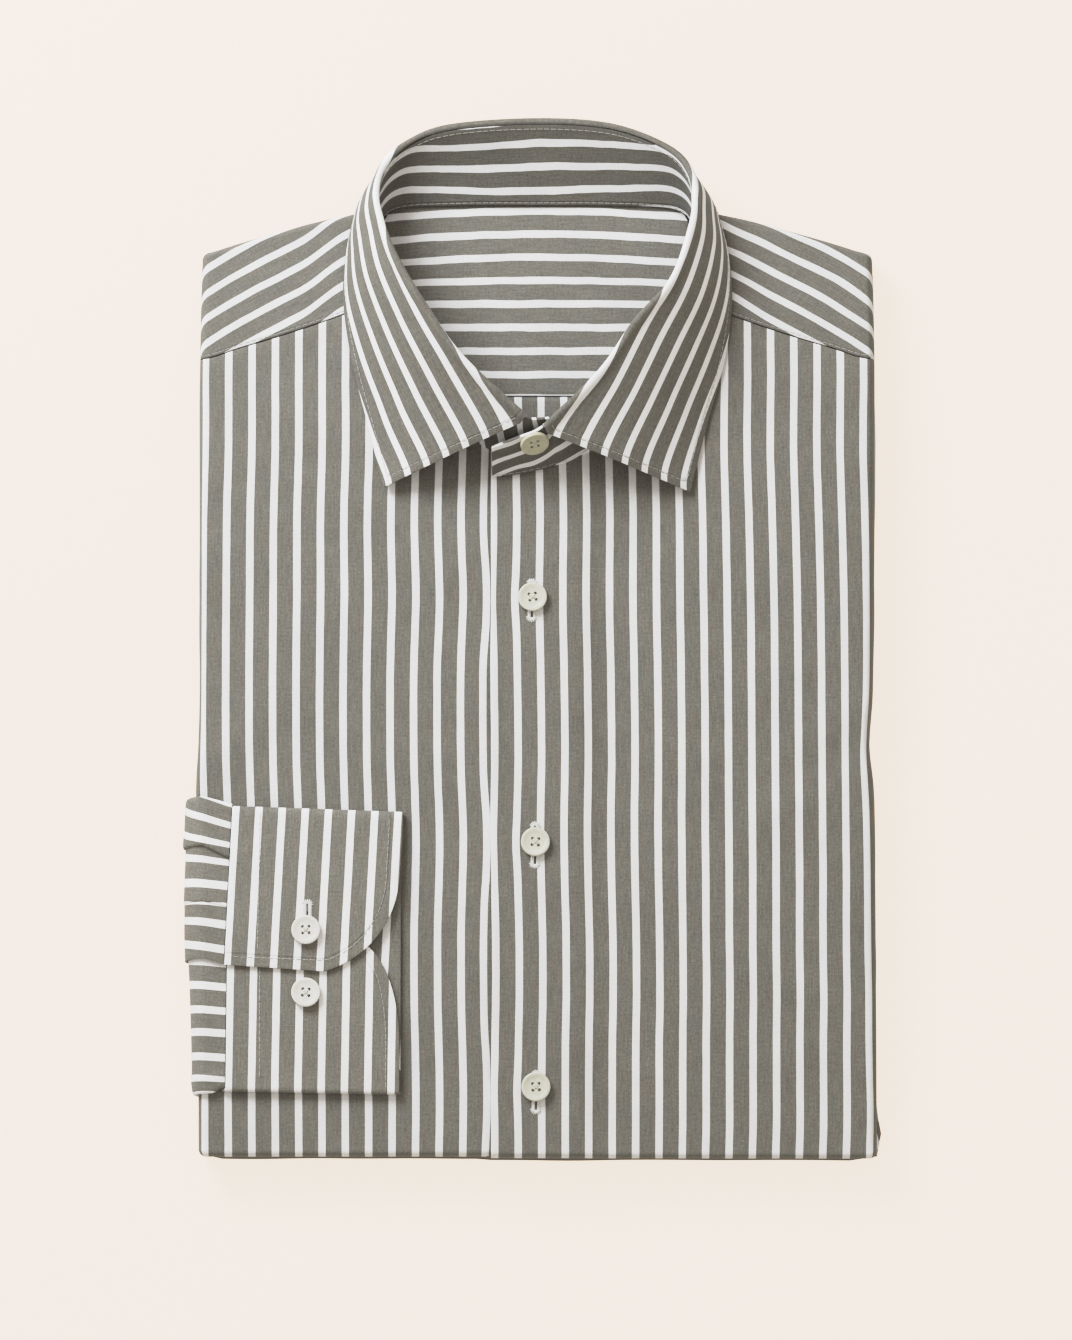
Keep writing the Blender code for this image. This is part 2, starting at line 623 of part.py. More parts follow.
def build_neck_floor():
    """Inside of the yoke and the top of the back, seen through the neck."""
    rows = []
    for y in FLOOR_ROWS:
        half = along(YOKE_INSIDE, "y", y, "half")
        rows.append([Vector((half * share, y, NECK_FLOOR)) for share in FLOOR_SHARES])
    cloth_sheet("yoke_inside", rows, INNER_CLOTH)
    rows = []
    for y in BACK_ROWS:
        forward = (NECK_CENTRE_Y - y) / NECK_LENGTH
        half = NECK_HALF * math.sqrt(FLOOR_SCALE**2 - forward**2)
        rows.append([Vector((half * share, y, NECK_FLOOR)) for share in FLOOR_SHARES])
    cloth_sheet("back", rows, INNER_CLOTH)


def seam_point(row):
    x, y, z = row["seam"]
    return Vector((x, y, front_height(x, y) + SEAM_LIFT if z == 0 else z))


def edge_point(row, lift):
    x, y, z = row["edge"]
    return Vector((x, y, front_height(x, y) + lift if z == 0 else z))


def spline(points, steps):
    """Points of a smooth curve through the given ones, steps to each span."""
    line = []
    last = len(points) - 1
    for i in range(last):
        before = points[max(0, i - 1)]
        after = points[min(last, i + 2)]
        start, end = points[i], points[i + 1]
        for k in range(steps):
            t = k / steps
            line.append(
                start * (2 * t**3 - 3 * t**2 + 1)
                + (end - before) * 0.5 * (t**3 - 2 * t**2 + t)
                + end * (3 * t**2 - 2 * t**3)
                + (after - start) * 0.5 * (t**3 - t**2)
            )
    line.append(points[last].copy())
    return line


def collar_rows(steps):
    """Seam and fold of the whole collar, with the share that carries the leaf."""
    seams = spline([seam_point(row) for row in COLLAR], steps)
    folds = spline([Vector(row["fold"]) for row in COLLAR], steps)
    falls = spline([Vector((row["fall"], 0, 0)) for row in COLLAR], steps)
    return seams, folds, [min(1.0, max(0.0, f.x)) for f in falls]


def stand_normal(seams, folds, i):
    """Direction from the stand to the outside of the collar."""
    run = seams[min(i + 1, len(seams) - 1)] - seams[max(i - 1, 0)]
    return run.cross(folds[i] - seams[i]).normalized()


def build_stand():
    """Collar stand: a band round the neck whose ends lap at the front."""
    seams, folds, falls = collar_rows(COLLAR_STEPS)
    rows = []
    for i, (seam, fold) in enumerate(zip(seams, folds)):
        upright = (fold - seam).normalized()
        top = fold - upright * STAND_DROP * falls[i]
        normal = stand_normal(seams, folds, i)
        line = []
        for k in range(STAND_ROWS + 1):
            t = k / STAND_ROWS
            bulge = STAND_BULGE * math.sin(math.pi * t) * falls[i]
            line.append(seam.lerp(top, t) + normal * bulge)
        rows.append(line)
    return cloth_sheet("collar_stand", rows, COLLAR_CLOTH, middle=True)


def build_leaf():
    """Collar leaf: from the stand's upper edge over the fold and down."""
    steps = COLLAR_STEPS
    seams, folds, _ = collar_rows(steps)
    carried = [k for k, row in enumerate(COLLAR) if row["fall"]]
    first, last = carried[0], carried[-1]
    lifts = {first: RIGHT_TIP_LIFT, last: LEFT_TIP_LIFT}
    edges = spline(
        [edge_point(COLLAR[k], lifts.get(k, LEAF_LIFT)) for k in range(first, last + 1)], steps
    )
    rows = []
    for n, edge in enumerate(edges):
        i = first * steps + n
        fold = folds[i]
        down = (seams[i] - fold).normalized()
        away = stand_normal(seams, folds, i)
        line = [fold + down * p["down"] + away * p["out"] for p in LEAF_FOLD]
        start = line[-1]
        run = edge - start
        outside = Vector((run.x, run.y, 0.0)).normalized() + Vector((0.0, 0.0, 1.0))
        outside = (outside - run.normalized() * outside.dot(run.normalized())).normalized()
        for k in range(1, LEAF_ROWS + 1):
            t = k / LEAF_ROWS
            bulge = LEAF_BULGE * math.sin(math.pi * t) * (1.0 - LEAF_FLATTEN * t)
            line.append(start.lerp(edge, t) + outside * bulge)
        rows.append(line)
    return cloth_sheet("collar_leaf", rows, COLLAR_CLOTH, middle=True)


def cuff_seam_x(y):
    return CUFF_SEAM_X + CUFF_SEAM_LEAN * (CUFF_TOP - y) / (CUFF_TOP - CUFF_BOTTOM)


def cuff_edge_x(y, lap):
    """Free edge of the cuff, rounded towards each lapped end."""
    end = CUFF_OVER_END if lap > 0 else CUFF_UNDER_END
    start = end + lap * (CUFF_CORNER_Y - CUFF_CORNER_REACH)
    past = lap * (start - y) / CUFF_CORNER_Y
    if past <= 0.0:
        return CUFF_EDGE_X
    return CUFF_EDGE_X - CUFF_CORNER_X * (1.0 - math.sqrt(max(0.0, 1.0 - past * past)))


def build_cuff():
    """Barrel cuff, flat, with its two rounded ends lapped and buttoned."""
    rows = []
    for bend in CUFF_SECTION:
        seam = cuff_seam_x(bend["y"])
        edge = cuff_edge_x(bend["y"], bend["lap"])
        line = []
        for k in range(CUFF_COLUMNS + 1):
            share = k / CUFF_COLUMNS
            x = seam + (edge - seam) * share
            y = bend["y"] + CUFF_DROP * (x - CUFF_SEAM_X) / (CUFF_EDGE_X - CUFF_SEAM_X)
            line.append(Vector((x, y, body_height(x, y) + bend["rise"])))
        rows.append(line)
    return cloth_sheet("cuff", rows, STRIPED_CLOTH, middle=True, flip=True)


def build_sleeve():
    """End of the sleeve, from the cuff round the side and in under the body."""
    rows = []
    for bend in SLEEVE_SECTION:
        y = bend["y"]
        rise = bend["rise"]
        roll_x = side_fold(y, -1) + SIDE_ROLL
        top = body_height(roll_x, y)
        depth = (top - SLEEVE_UNDER) / 2.0
        line = []
        start = cuff_seam_x(y) - SEAM_GAP
        pressed = SLEEVE_FLAT + (rise - SLEEVE_FLAT) * SLEEVE_PRESS
        for share in SLEEVE_COLUMNS:
            x = start + (roll_x - start) * share
            line.append(Vector((x, y, body_height(x, y) + rise)))
        for degrees in SLEEVE_TURN:
            turn = math.radians(degrees)
            bent = smooth_step(degrees / 90.0)
            line.append(Vector((
                roll_x - (SIDE_ROLL + pressed) * math.sin(turn),
                y,
                top - depth + (depth + rise + (pressed - rise) * bent) * math.cos(turn),
            )))
        line.append(line[-1] + Vector((SLEEVE_TUCK, 0.0, 0.0)))
        rows.append(line)
    return cloth_sheet("sleeve", rows, STRIPED_CLOTH, thickness=SLEEVE_CLOTH, middle=True)


def button_mesh():
    """Round button with a raised rim and four holes through it."""
    solid = bmesh.new()
    rings = []
    for row in BUTTON_PROFILE:
        ring = []
        for k in range(BUTTON_SIDES):
            turn = 2.0 * math.pi * k / BUTTON_SIDES
            radius = row["r"] * BUTTON_RADIUS
            place = (radius * math.cos(turn), radius * math.sin(turn), row["z"] * BUTTON_HEIGHT)
            ring.append(solid.verts.new(Vector(place) * MM))
        rings.append(ring)
    for upper, lower in zip(rings, rings[1:]):
        for k in range(BUTTON_SIDES):
            j = (k + 1) % BUTTON_SIDES
            solid.faces.new((upper[k], lower[k], lower[j], upper[j]))
    solid.faces.new(rings[0])
    solid.faces.new(rings[-1][::-1])
    blank = bpy.data.meshes.new("button_blank")
    solid.to_mesh(blank)
    solid.free()
    body = add_object("button_blank", blank, BUTTON_WHITE)
    drill = bmesh.new()
    for sx in (-1, 1):
        for sy in (-1, 1):
            place = Vector((sx * HOLE_OFFSET, sy * HOLE_OFFSET, BUTTON_HEIGHT / 2.0)) * MM
            bmesh.ops.create_cone(
                drill, cap_ends=True, segments=HOLE_SIDES, radius1=HOLE_RADIUS * MM,
                radius2=HOLE_RADIUS * MM, depth=2.0 * BUTTON_HEIGHT * MM,
                matrix=Matrix.Translation(place),
            )
    holes = bpy.data.meshes.new("button_holes")
    drill.to_mesh(holes)
    drill.free()
    cutter = add_object("button_holes", holes, BUTTON_WHITE)
    cut = body.modifiers.new("Thread holes", "BOOLEAN")
    cut.operation = "DIFFERENCE"
    cut.object = cutter
    cut.solver = "EXACT"
    bpy.context.view_layer.update()
    seen = body.evaluated_get(bpy.context.evaluated_depsgraph_get())
    drilled = bpy.data.meshes.new_from_object(seen)
    bpy.data.objects.remove(body)
    bpy.data.objects.remove(cutter)
    return drilled


def place_button(name, mesh, base, normal):
    """A button whose underside lies just clear of the cloth at base."""
    made = add_object(name, mesh.copy(), BUTTON_WHITE)
    made.rotation_euler = Vector((0, 0, 1)).rotation_difference(normal).to_euler()
    made.location = (base + normal * LAYER_GAP) * MM
    return made


def cloth_normal(height, x, y):
    """Upward normal of a height function."""
    step = SLOPE_STEP
    slope_x = (height(x + step, y) - height(x - step, y)) / (2.0 * step)
    slope_y = (height(x, y + step) - height(x, y - step)) / (2.0 * step)
    return Vector((-slope_x, -slope_y, 1.0)).normalized()


def build_buttons():
    mesh = button_mesh()
    for number, y in enumerate(FRONT_BUTTONS, 1):
        base = Vector((FRONT_BUTTON_X, y, front_height(FRONT_BUTTON_X, y)))
        normal = cloth_normal(front_height, FRONT_BUTTON_X, y)
        place_button(f"front_button_{number}", mesh, base, normal)
    for name, y, rise in (
        ("cuff_button_over", CUFF_BUTTON_OVER, CUFF_OVER_RISE),
        ("cuff_button_under", CUFF_BUTTON_UNDER, CUFF_UNDER_RISE),
    ):
        top = body_height(CUFF_BUTTON_X, y) + rise + CLOTH / 2.0
        normal = cloth_normal(body_height, CUFF_BUTTON_X, y)
        place_button(name, mesh, Vector((CUFF_BUTTON_X, y, top)), normal)
    seam = seam_point(COLLAR[2])
    fold = Vector(COLLAR[2]["fold"])
    across = Vector(COLLAR[3]["fold"]) - Vector(COLLAR[1]["fold"])
    normal = across.cross(fold - seam).normalized()
    base = seam.lerp(fold, COLLAR_BUTTON_UP) + normal * CLOTH / 2.0
    place_button("collar_button", mesh, base, normal)


def centre_on_origin():
    """Move everything so that the origin is at the shirt's bottom centre."""
    shift = Vector((
        -(REACH_LEFT + REACH_RIGHT) / 2.0,
        -(REACH_HEM + REACH_COLLAR) / 2.0,
        0.0,
    )) * MM
    for made in bpy.context.scene.objects:
        made.location += shift


def main():
    for old in list(bpy.data.objects):
        bpy.data.objects.remove(old)
    build_folded_layers()
    build_fronts()
    build_shoulder("yoke_right", 1)
    build_shoulder("yoke_left", -1)
    build_neck_floor()
    build_stand()
    build_leaf()
    build_sleeve()
    build_cuff()
    build_buttons()
    centre_on_origin()


main()
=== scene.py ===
import math

import bmesh
import bpy
from mathutils import Matrix, Vector, noise


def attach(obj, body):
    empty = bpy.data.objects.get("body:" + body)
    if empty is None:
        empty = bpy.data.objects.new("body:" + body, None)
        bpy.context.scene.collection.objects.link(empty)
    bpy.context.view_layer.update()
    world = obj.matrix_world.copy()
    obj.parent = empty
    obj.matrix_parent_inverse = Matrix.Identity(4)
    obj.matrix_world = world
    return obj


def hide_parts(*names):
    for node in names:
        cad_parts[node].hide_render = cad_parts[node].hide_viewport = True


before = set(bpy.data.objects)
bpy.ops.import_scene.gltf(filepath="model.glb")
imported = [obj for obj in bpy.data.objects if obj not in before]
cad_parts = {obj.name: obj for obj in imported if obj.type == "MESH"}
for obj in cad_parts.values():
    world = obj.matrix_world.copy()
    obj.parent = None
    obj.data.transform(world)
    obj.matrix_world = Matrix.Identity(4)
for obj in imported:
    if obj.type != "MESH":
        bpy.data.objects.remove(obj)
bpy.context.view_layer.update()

mm = 0.001
# lengths are in millimetres from the hem fold (y = 0) and the fastening line (x = 0)
originShift = Vector((1.38, -198.835, 0.0))
upwards = Vector((0.0, 0.0, 1.0))
stripeRepeat = 8.87      # one white and one taupe stripe


# rows of numbers under named columns
def table(columns, *rows):
    names = columns.split()
    return [dict(zip(names, row)) for row in rows]


cloth = {
    "wall": 1.2,
    "sleeveWall": 1.0,
    "layerGap": 0.35,
    "seamGap": 0.3,
    "roundedEdge": 0.32,
}

body = {
    "hemSharp": 0.7,          # how much sharper the hem's fold is than the sides
    "sideRoll": 3.0,          # plan radius of the folds round the body
    "rollAngle": math.radians(150.0),
    "rollEnd": 7.0,           # height where the front turns in under itself
    "rollSteps": 12,
    "crown": 0.8,
    "half": 127.5,
    "rise": table(
        "y top",
        (0, 15), (80, 18.6), (180, 20.4), (262, 20.5), (318, 18.4), (345, 15.6), (368, 13.4),
    ),
    "sideFolds": table(
        "y left right",
        (-10, -127.4, 128.8), (60, -128, 128.8), (140, -129.2, 128.4), (158, -128.4, 126.8),
        (180, -128, 128.3), (304, -128.6, 129.6), (370, -127.4, 128.4),
    ),
    # soft ridges (and troughs, where rise is negative) from one point to another
    "folds": table(
        "x0 y0 x1 y1 rise wide",
        (124, 172, 92, 150, 0.7, 7), (124, 146, 84, 128, 0.6, 8), (-122, 150, -96, 178, 0.6, 8),
        (60, 30, 52, 205, 0.5, 12), (-62, 150, -70, 245, 0.5, 12), (-10, 240, -34, 222, 0.5, 7),
        (4, 226, 30, 240, 0.35, 6), (6, 112, 34, 98, 0.3, 6), (8, 36, 40, 52, 0.3, 7),
    ),
    # slight unevenness of pressed cloth: height, then size across and along
    "waves": (0.16, 46.0, 60.0),
    "ripples": (0.05, 15.0, 21.0),
}

fastening = {
    "edge": -17.0,            # edge of the front that laps over
    "edgeWobble": table(
        "y out",
        (0, 0), (44, 0), (75, 0.4), (106, 0.05), (129, -0.3), (152, 0), (183, -0.35), (214, -0.1),
        (244, -0.15), (300, 0),
    ),
    "lapEnd": 15.0,
    "lapSlope": 11.0,
    "edgeLift": 0.75,         # the edge stands up this much between two buttons
    "edgeReach": 5.0,
    "buttonHold": 12.0,       # a button holds it down for this far, and it eases up
    "buttonEase": 26.0,
    "wobbleReach": 6.0,
    # painted shade: the under front's stripes are shifted so taupe, not white, shows in the gap
    # beside the lapped edge
    "edgeShade": 0.45,        # taupe left bare beside the edge between two buttons
    "hemStep": 0.7,
    "hemLapStep": 1.8,
    # each button's place, how far it hangs from there, its turn in degrees, and
    # how much longer than the others its buttonhole is
    "buttons": table(
        "x y hangX hangY turn longer",
        (-1, 212.4, -0.3, 0.6, 8, 0), (0.2, 119.2, -0.4, 0, -4, 1.2),
        (0.55, 24.9, -0.55, 1.5, 3, 0),
    ),
}

neck = {
    "half": 62.8,
    "length": 80.0,
    "centreY": 346.0,
    "floor": 12.5,
    "frontScale": 0.97,
    "clear": 1.2,
    "floorScale": 0.9,
    "floorWave": (0.18, 26.0, 20.0),
    "dipStart": 1.1,
    "dipSlope": 0.2,
}

yoke = {
    "corner": 61.6,
    "front": table(
        "x seam fold",
        (55, 330, 367), (73, 323.8, 363.5), (85, 319.4, 360.8), (100, 314.4, 356.6),
        (115, 309.8, 352.2), (128, 305, 347.8),
    ),
    "backEdge": 366.4,
    "backEdgeHalf": 55.0,
    "inside": table(
        "y half",
        (292.9, 37.5), (310, 49), (330, 55.6), (346, 59.4), (357, 59.8), (363, 57.4), (368.6, 54),
    ),
    "slant": math.radians(29.0),
    "stripes": {1: (341.7, 8.45), -1: (343.3, 8.6)},    # first white one, and the next
    "insideStripes": (301.9, 9.03),
    "backStripes": (1.9, 8.75),
    # how far the stripes bend: at the side fold, and nearer the collar
    "sideBend": 1.4,
    "leftBends": (2.9, 0.2, 0.6),
    "rightBends": (1.8, 1.3, 1.2),
    "seamStitch": 1.0,
    "seamPuff": 0.16,
    "neckReach": 9.0,
}


def smoothStep(t):
    t = min(1.0, max(0.0, t))
    return t * t * (3.0 - 2.0 * t)


def bell(t):
    return math.exp(-t * t)


# the cubic curve's four weights: start, slope there, end, slope there
def cubic(t):
    return (
        2 * t**3 - 3 * t**2 + 1,
        t**3 - 2 * t**2 + t,
        3 * t**2 - 2 * t**3,
        t**3 - t**2,
    )


# smooth value of a table's column at one place along its first column
def along(rows, at, column):
    key = next(iter(rows[0]))
    keys = [row[key] for row in rows]
    at = min(keys[-1], max(keys[0], at))
    last = len(rows) - 2
    i = next((k for k in range(last) if at < keys[k + 1]), last)
    span = keys[i + 1] - keys[i]
    t = (at - keys[i]) / span
    before = max(0, i - 1)
    after = min(len(rows) - 1, i + 2)
    start, end = rows[i][column], rows[i + 1][column]
    slopeIn = (end - rows[before][column]) / (keys[i + 1] - keys[before]) * span
    slopeOut = (rows[after][column] - start) / (keys[after] - keys[i]) * span
    a, b, c, d = cubic(t)
    return start * a + slopeIn * b + end * c + slopeOut * d


# smooth curve through the points, with steps to each span
def spline(points, steps):
    line = []
    last = len(points) - 1
    for i in range(last):
        start, end = points[i], points[i + 1]
        slopeIn = (end - points[max(0, i - 1)]) * 0.5
        slopeOut = (points[min(last, i + 2)] - start) * 0.5
        for k in range(steps):
            a, b, c, d = cubic(k / steps)
            line.append(start * a + slopeIn * b + end * c + slopeOut * d)
    line.append(points[last].copy())
    return line


def sideFold(y, side):
    return along(body["sideFolds"], y, "left" if side < 0 else "right")


# where the cloth starts to turn over the side fold
def sideStart(y, side):
    return sideFold(y, side) - side * body["sideRoll"]


def bodyHeight(x, y):
    crown = body["crown"] * (1.0 - (x / body["half"]) ** 2)
    wave, ripple = [
        noise.noise(Vector((x / across, y / lengthwise, seed))) * height
        for (height, across, lengthwise), seed in ((body["waves"], 1.7), (body["ripples"], 4.1))
    ]
    return along(body["rise"], y, "top") + crown + wave + ripple


def creaseHeight(x, y):
    total = 0.0
    here = Vector((x, y))
    for fold in body["folds"]:
        start = Vector((fold["x0"], fold["y0"]))
        run = Vector((fold["x1"], fold["y1"])) - start
        t = (here - start).dot(run) / run.length_squared
        near = start + run * min(1.0, max(0.0, t))
        away = (here - near).length / fold["wide"]
        if away < 3.0:
            total += fold["rise"] * bell(away)
    return total


def lapHeight(x, y):
    if x < fastening["edge"] - 0.7:
        return 0.0
    down = smoothStep((x - fastening["lapEnd"]) / fastening["lapSlope"])
    nearest = min(abs(y - row["y"]) for row in fastening["buttons"])
    free = smoothStep((nearest - fastening["buttonHold"]) / fastening["buttonEase"])
    atEdge = 1.0 - smoothStep((x - fastening["edge"]) / fastening["edgeReach"])
    lift = fastening["edgeLift"] * free * atEdge
    return (cloth["wall"] + cloth["layerGap"]) * (1.0 - down) + lift


def frontHeight(x, y):
    return bodyHeight(x, y) + creaseHeight(x, y) + lapHeight(x, y)


def neckDistance(x, y):
    forward = max(0.0, neck["centreY"] - y) / neck["length"]
    return math.hypot(x / neck["half"], forward)


def rollDrop(top, turn):
    share = (1.0 - math.cos(turn)) / (1.0 - math.cos(body["rollAngle"]))
    return (top - body["rollEnd"]) * share


# length of cloth from the flat to one turn of the roll over an edge
def rollLength(top, turn):
    steps = 8
    total = 0.0
    last = (0.0, 0.0)
    for k in range(1, steps + 1):
        angle = turn * k / steps
        now = (body["sideRoll"] * math.sin(angle), rollDrop(top, angle))
        total += math.hypot(now[0] - last[0], now[1] - last[1])
        last = now
    return total


# a point of cloth rolled over the side (u) and over the hem or shoulder (v), and
# where that point lies on the flat cloth
def wrapped(x, y, top, side, u, end, v):
    depth = max(u, v)
    if depth == 0.0:
        return Vector((x, y, top)), (x, y)
    share = v / u if u >= v else 2.0 - u / v
    heading = share * math.pi / 4.0
    turn = body["rollAngle"] * depth
    out = body["sideRoll"] * math.sin(turn)
    drop = rollDrop(top, turn)
    if end < 0:
        full = top - body["rollEnd"]
        drop = full * (drop / full) ** (1.0 + body["hemSharp"] * math.sin(heading))
    point = Vector((
        x + side * out * math.cos(heading),
        y + end * out * math.sin(heading),
        top - drop,
    ))
    length = rollLength(top, turn)
    flat = (x + side * length * math.cos(heading), y + end * length * math.sin(heading))
    return point, flat


def spaced(start, end, step):
    count = max(1, round(abs(end - start) / step))
    return [start + (end - start) * k / count for k in range(count + 1)]


outer = body["half"] - body["sideRoll"]
rolls = [(k + 1) / body["rollSteps"] for k in range(body["rollSteps"])]


# columns from a sheet's inner edge out to the side fold and then round it
def rolledColumns(columns):
    return [(x, 0.0) for x in columns] + [(None, u) for u in [0.0] + rolls]


# a sheet's rows of points and of places on the stripes; at(down, across) gives both
def clothGrid(downs, acrosses, at):
    cells = [[at(down, across) for across in acrosses] for down in downs]
    return [[[cell[part] for cell in row] for row in cells] for part in (0, 1)]


print("stage: shader groups")


def newGroup(name, inputs, outputs):
    group = bpy.data.node_groups.new(name, "ShaderNodeTree")
    for label, (kind, value) in inputs.items():
        socket = group.interface.new_socket(label, in_out="INPUT", socket_type="NodeSocket" + kind)
        if value is not None:
            socket.default_value = value
    for label, kind in outputs.items():
        group.interface.new_socket(label, in_out="OUTPUT", socket_type="NodeSocket" + kind)
    start = group.nodes.new("NodeGroupInput")
    return group, start.outputs, group.nodes.new("NodeGroupOutput")


# each input gets a number or a colour, or is linked to another node's output
def setInputs(tree, node, values):
    for label, value in dict(values).items():
        if isinstance(value, (int, float, tuple)):
            node.inputs[label].default_value = value
        else:
            tree.links.new(value, node.inputs[label])


def addNode(tree, kind, values=(), **settings):
    node = tree.nodes.new("ShaderNode" + kind)
    for label, value in settings.items():
        setattr(node, label, value)
    setInputs(tree, node, values)
    return node


def mathNode(tree, operation, *values):
    return addNode(tree, "Math", enumerate(values), operation=operation).outputs[0]


def product(tree, a, b):
    return mathNode(tree, "MULTIPLY", a, b)


def total(tree, a, b):
    return mathNode(tree, "ADD", a, b)


def mixColour(tree, share, first, second, blend="MIX"):
    node = addNode(tree, "Mix", data_type="RGBA", blend_type=blend)
    numbers = {socket.identifier: k for k, socket in enumerate(node.inputs)}
    values = (("Factor_Float", share), ("A_Color", first), ("B_Color", second))
    setInputs(tree, node, {numbers[name]: value for name, value in values})
    return next(s for s in node.outputs if s.identifier == "Result_Color")


def noiseNode(tree, vector, scale, detail, roughness=0.5):
    values = {"Vector": vector, "Scale": scale, "Detail": detail, "Roughness": roughness}
    return addNode(tree, "TexNoise", values).outputs[0]


def scaled(tree, vector, factors):
    return addNode(tree, "VectorMath", {0: vector, 1: factors}, operation="MULTIPLY").outputs[0]


def mapRange(tree, value, fromLow, fromHigh, toLow, toHigh, smooth=False):
    values = enumerate((value, fromLow, fromHigh, toLow, toHigh))
    kind = "SMOOTHSTEP" if smooth else "LINEAR"
    return addNode(tree, "MapRange", values, interpolation_type=kind).outputs[0]


def bumpNode(tree, height, strength, depth):
    return addNode(tree, "Bump", {"Height": height, "Strength": strength, "Distance": depth * mm})


# the same value in all three channels
def grey(tree, value):
    return addNode(tree, "CombineColor", enumerate((value,) * 3)).outputs[0]


def toned(colour, tone):
    return tuple(c * tone for c in colour[:3]) + (1.0,)


weave = {
    "white": (0.80, 0.795, 0.795, 1.0),
    "taupe": (0.1525, 0.1445, 0.1265, 1.0),
    "whiteShare": 0.315,      # of one repeat
    "yarns": 15.0,            # per repeat
    "streaks": 0.62,
    "mottle": 0.12,
    "grain": 0.28,
    "warmth": 0.03,           # how far the taupe wanders from warm to cool
    "sway": 0.006,
    "sheen": 0.12,
    "softEdge": 0.013,        # half the width of a stripe's blurred edge
}


# stripes woven in one repeat, with the uneven yarns of an end-on-end cloth
def makeWeaveGroup():
    group, start, end = newGroup(
        "wovenStripes",
        {
            "Cloth": ("Vector", None),
            "White": ("Color", weave["white"]),
            "Taupe": ("Color", weave["taupe"]),
            "White share": ("Float", weave["whiteShare"]),
            "Streaks": ("Float", weave["streaks"]),
            "Sway": ("Float", weave["sway"]),
        },
        {"Colour": "Color", "Height": "Float", "Roughness": "Float"},
    )
    place = start["Cloth"]
    across = addNode(group, "SeparateXYZ", {0: place}).outputs[0]
    sway = noiseNode(group, scaled(group, place, (1.0, 0.55, 1.0)), 1.0, 2.0)
    swing = product(group, mapRange(group, sway, 0.25, 0.75, -1.0, 1.0), start["Sway"])
    # 0 in the middle of a white stripe and 0.5 in the middle of a taupe one
    fromWhite = mathNode(group, "PINGPONG", total(group, across, swing), 0.5)
    past = mathNode(group, "SUBTRACT", fromWhite, product(group, start["White share"], 0.5))
    whiteMask = mapRange(group, past, -weave["softEdge"], weave["softEdge"], 1.0, 0.0, smooth=True)
    # yarns: long thin slubs along the stripes and across them
    yarns = weave["yarns"]
    warp, weft, broad = [
        noiseNode(group, scaled(group, place, stretch), 1.0, 2.0, 0.6)
        for stretch in ((yarns, 1.1, 1.0), (1.3, yarns, 1.0), (7.0, 0.5, 1.0))
    ]
    streak = total(group, product(group, warp, 0.55), product(group, weft, 0.30))
    streak = total(group, streak, product(group, broad, 0.15))
    centred = product(group, mathNode(group, "SUBTRACT", streak, 0.5), 2.0)
    # white yarns show the streaks less
    strength = product(group, start["Streaks"], mapRange(group, whiteMask, 0.0, 1.0, 1.0, 0.30))
    shade = mathNode(group, "MULTIPLY_ADD", centred, strength, 1.0)
    mottle, depth = noiseNode(group, place, 0.35, 3.0, 0.6), weave["mottle"] / 2.0
    shade = product(group, shade, mapRange(group, mottle, 0.3, 0.7, 1.0 - depth, 1.0 + depth))
    grain = noiseNode(group, scaled(group, place, (13.0, 9.0, 1.0)), 1.0, 3.0, 0.65)
    speck = mapRange(group, grain, 0.25, 0.75, -weave["grain"], weave["grain"])
    speck = product(group, speck, mapRange(group, whiteMask, 0.0, 1.0, 1.0, 0.2))
    shade = product(group, shade, total(group, speck, 1.0))
    drift = noiseNode(group, scaled(group, place, (1.7, 0.8, 1.0)), 1.0, 2.0)
    drift = mapRange(group, drift, 0.3, 0.7, 0.0, 1.0)
    warm, cool = 1.0 + weave["warmth"], 1.0 - weave["warmth"]
    hue = mixColour(group, drift, (warm, 1.0, cool, 1.0), (cool, 1.0, 1.0, 1.0))
    taupe = mixColour(group, 1.0, start["Taupe"], hue, "MULTIPLY")
    base = mixColour(group, whiteMask, taupe, start["White"])
    setInputs(group, end, {
        "Colour": mixColour(group, 1.0, base, grey(group, shade), "MULTIPLY"),
        "Height": total(group, total(group, warp, weft), product(group, whiteMask, 0.25)),
        "Roughness": mapRange(group, streak, 0.3, 0.7, 0.74, 0.88),
    })
    return group


# the groove that a row of stitches presses into the cloth; the seam map's first
# value is the distance from the sewn edge in centimetres
def makeSeamGroup():
    group, start, end = newGroup(
        "stitchedGroove",
        {"Seam": ("Vector", None), "Row": ("Float", 0.3)},
        {"Height": "Float", "Shade": "Float"},
    )
    fromEdge = addNode(group, "SeparateXYZ", {0: start["Seam"]}).outputs[0]
    away = mathNode(group, "ABSOLUTE", mathNode(group, "SUBTRACT", fromEdge, start["Row"]))
    groove = mapRange(group, away, 0.0, 0.075, 0.0, 1.0, smooth=True)
    pucker = noiseNode(group, scaled(group, start["Seam"], (2.0, 9.0, 1.0)), 1.0, 1.0)
    near = mapRange(group, away, 0.0, 0.22, 1.0, 0.0, smooth=True)
    setInputs(group, end, {
        "Height": total(group, groove, product(group, product(group, pucker, near), 0.8)),
        # painted shade: Shade darkens the colour to 0.9 along the groove
        "Shade": mapRange(group, groove, 0.0, 1.0, 0.90, 1.0),
    })
    return group


weaveGroup = makeWeaveGroup()
seamGroup = makeSeamGroup()


def placeGroup(tree, group, values):
    return addNode(tree, "Group", values, node_tree=group).outputs


def uvNode(tree, layer):
    return addNode(tree, "UVMap", uv_map=layer).outputs[0]


def objectPlace(tree):
    return addNode(tree, "TexCoord").outputs["Object"]


def newMaterial(name):
    made = bpy.data.materials.new(name)
    made.use_nodes = True
    return made, made.node_tree, made.node_tree.nodes["Principled BSDF"]


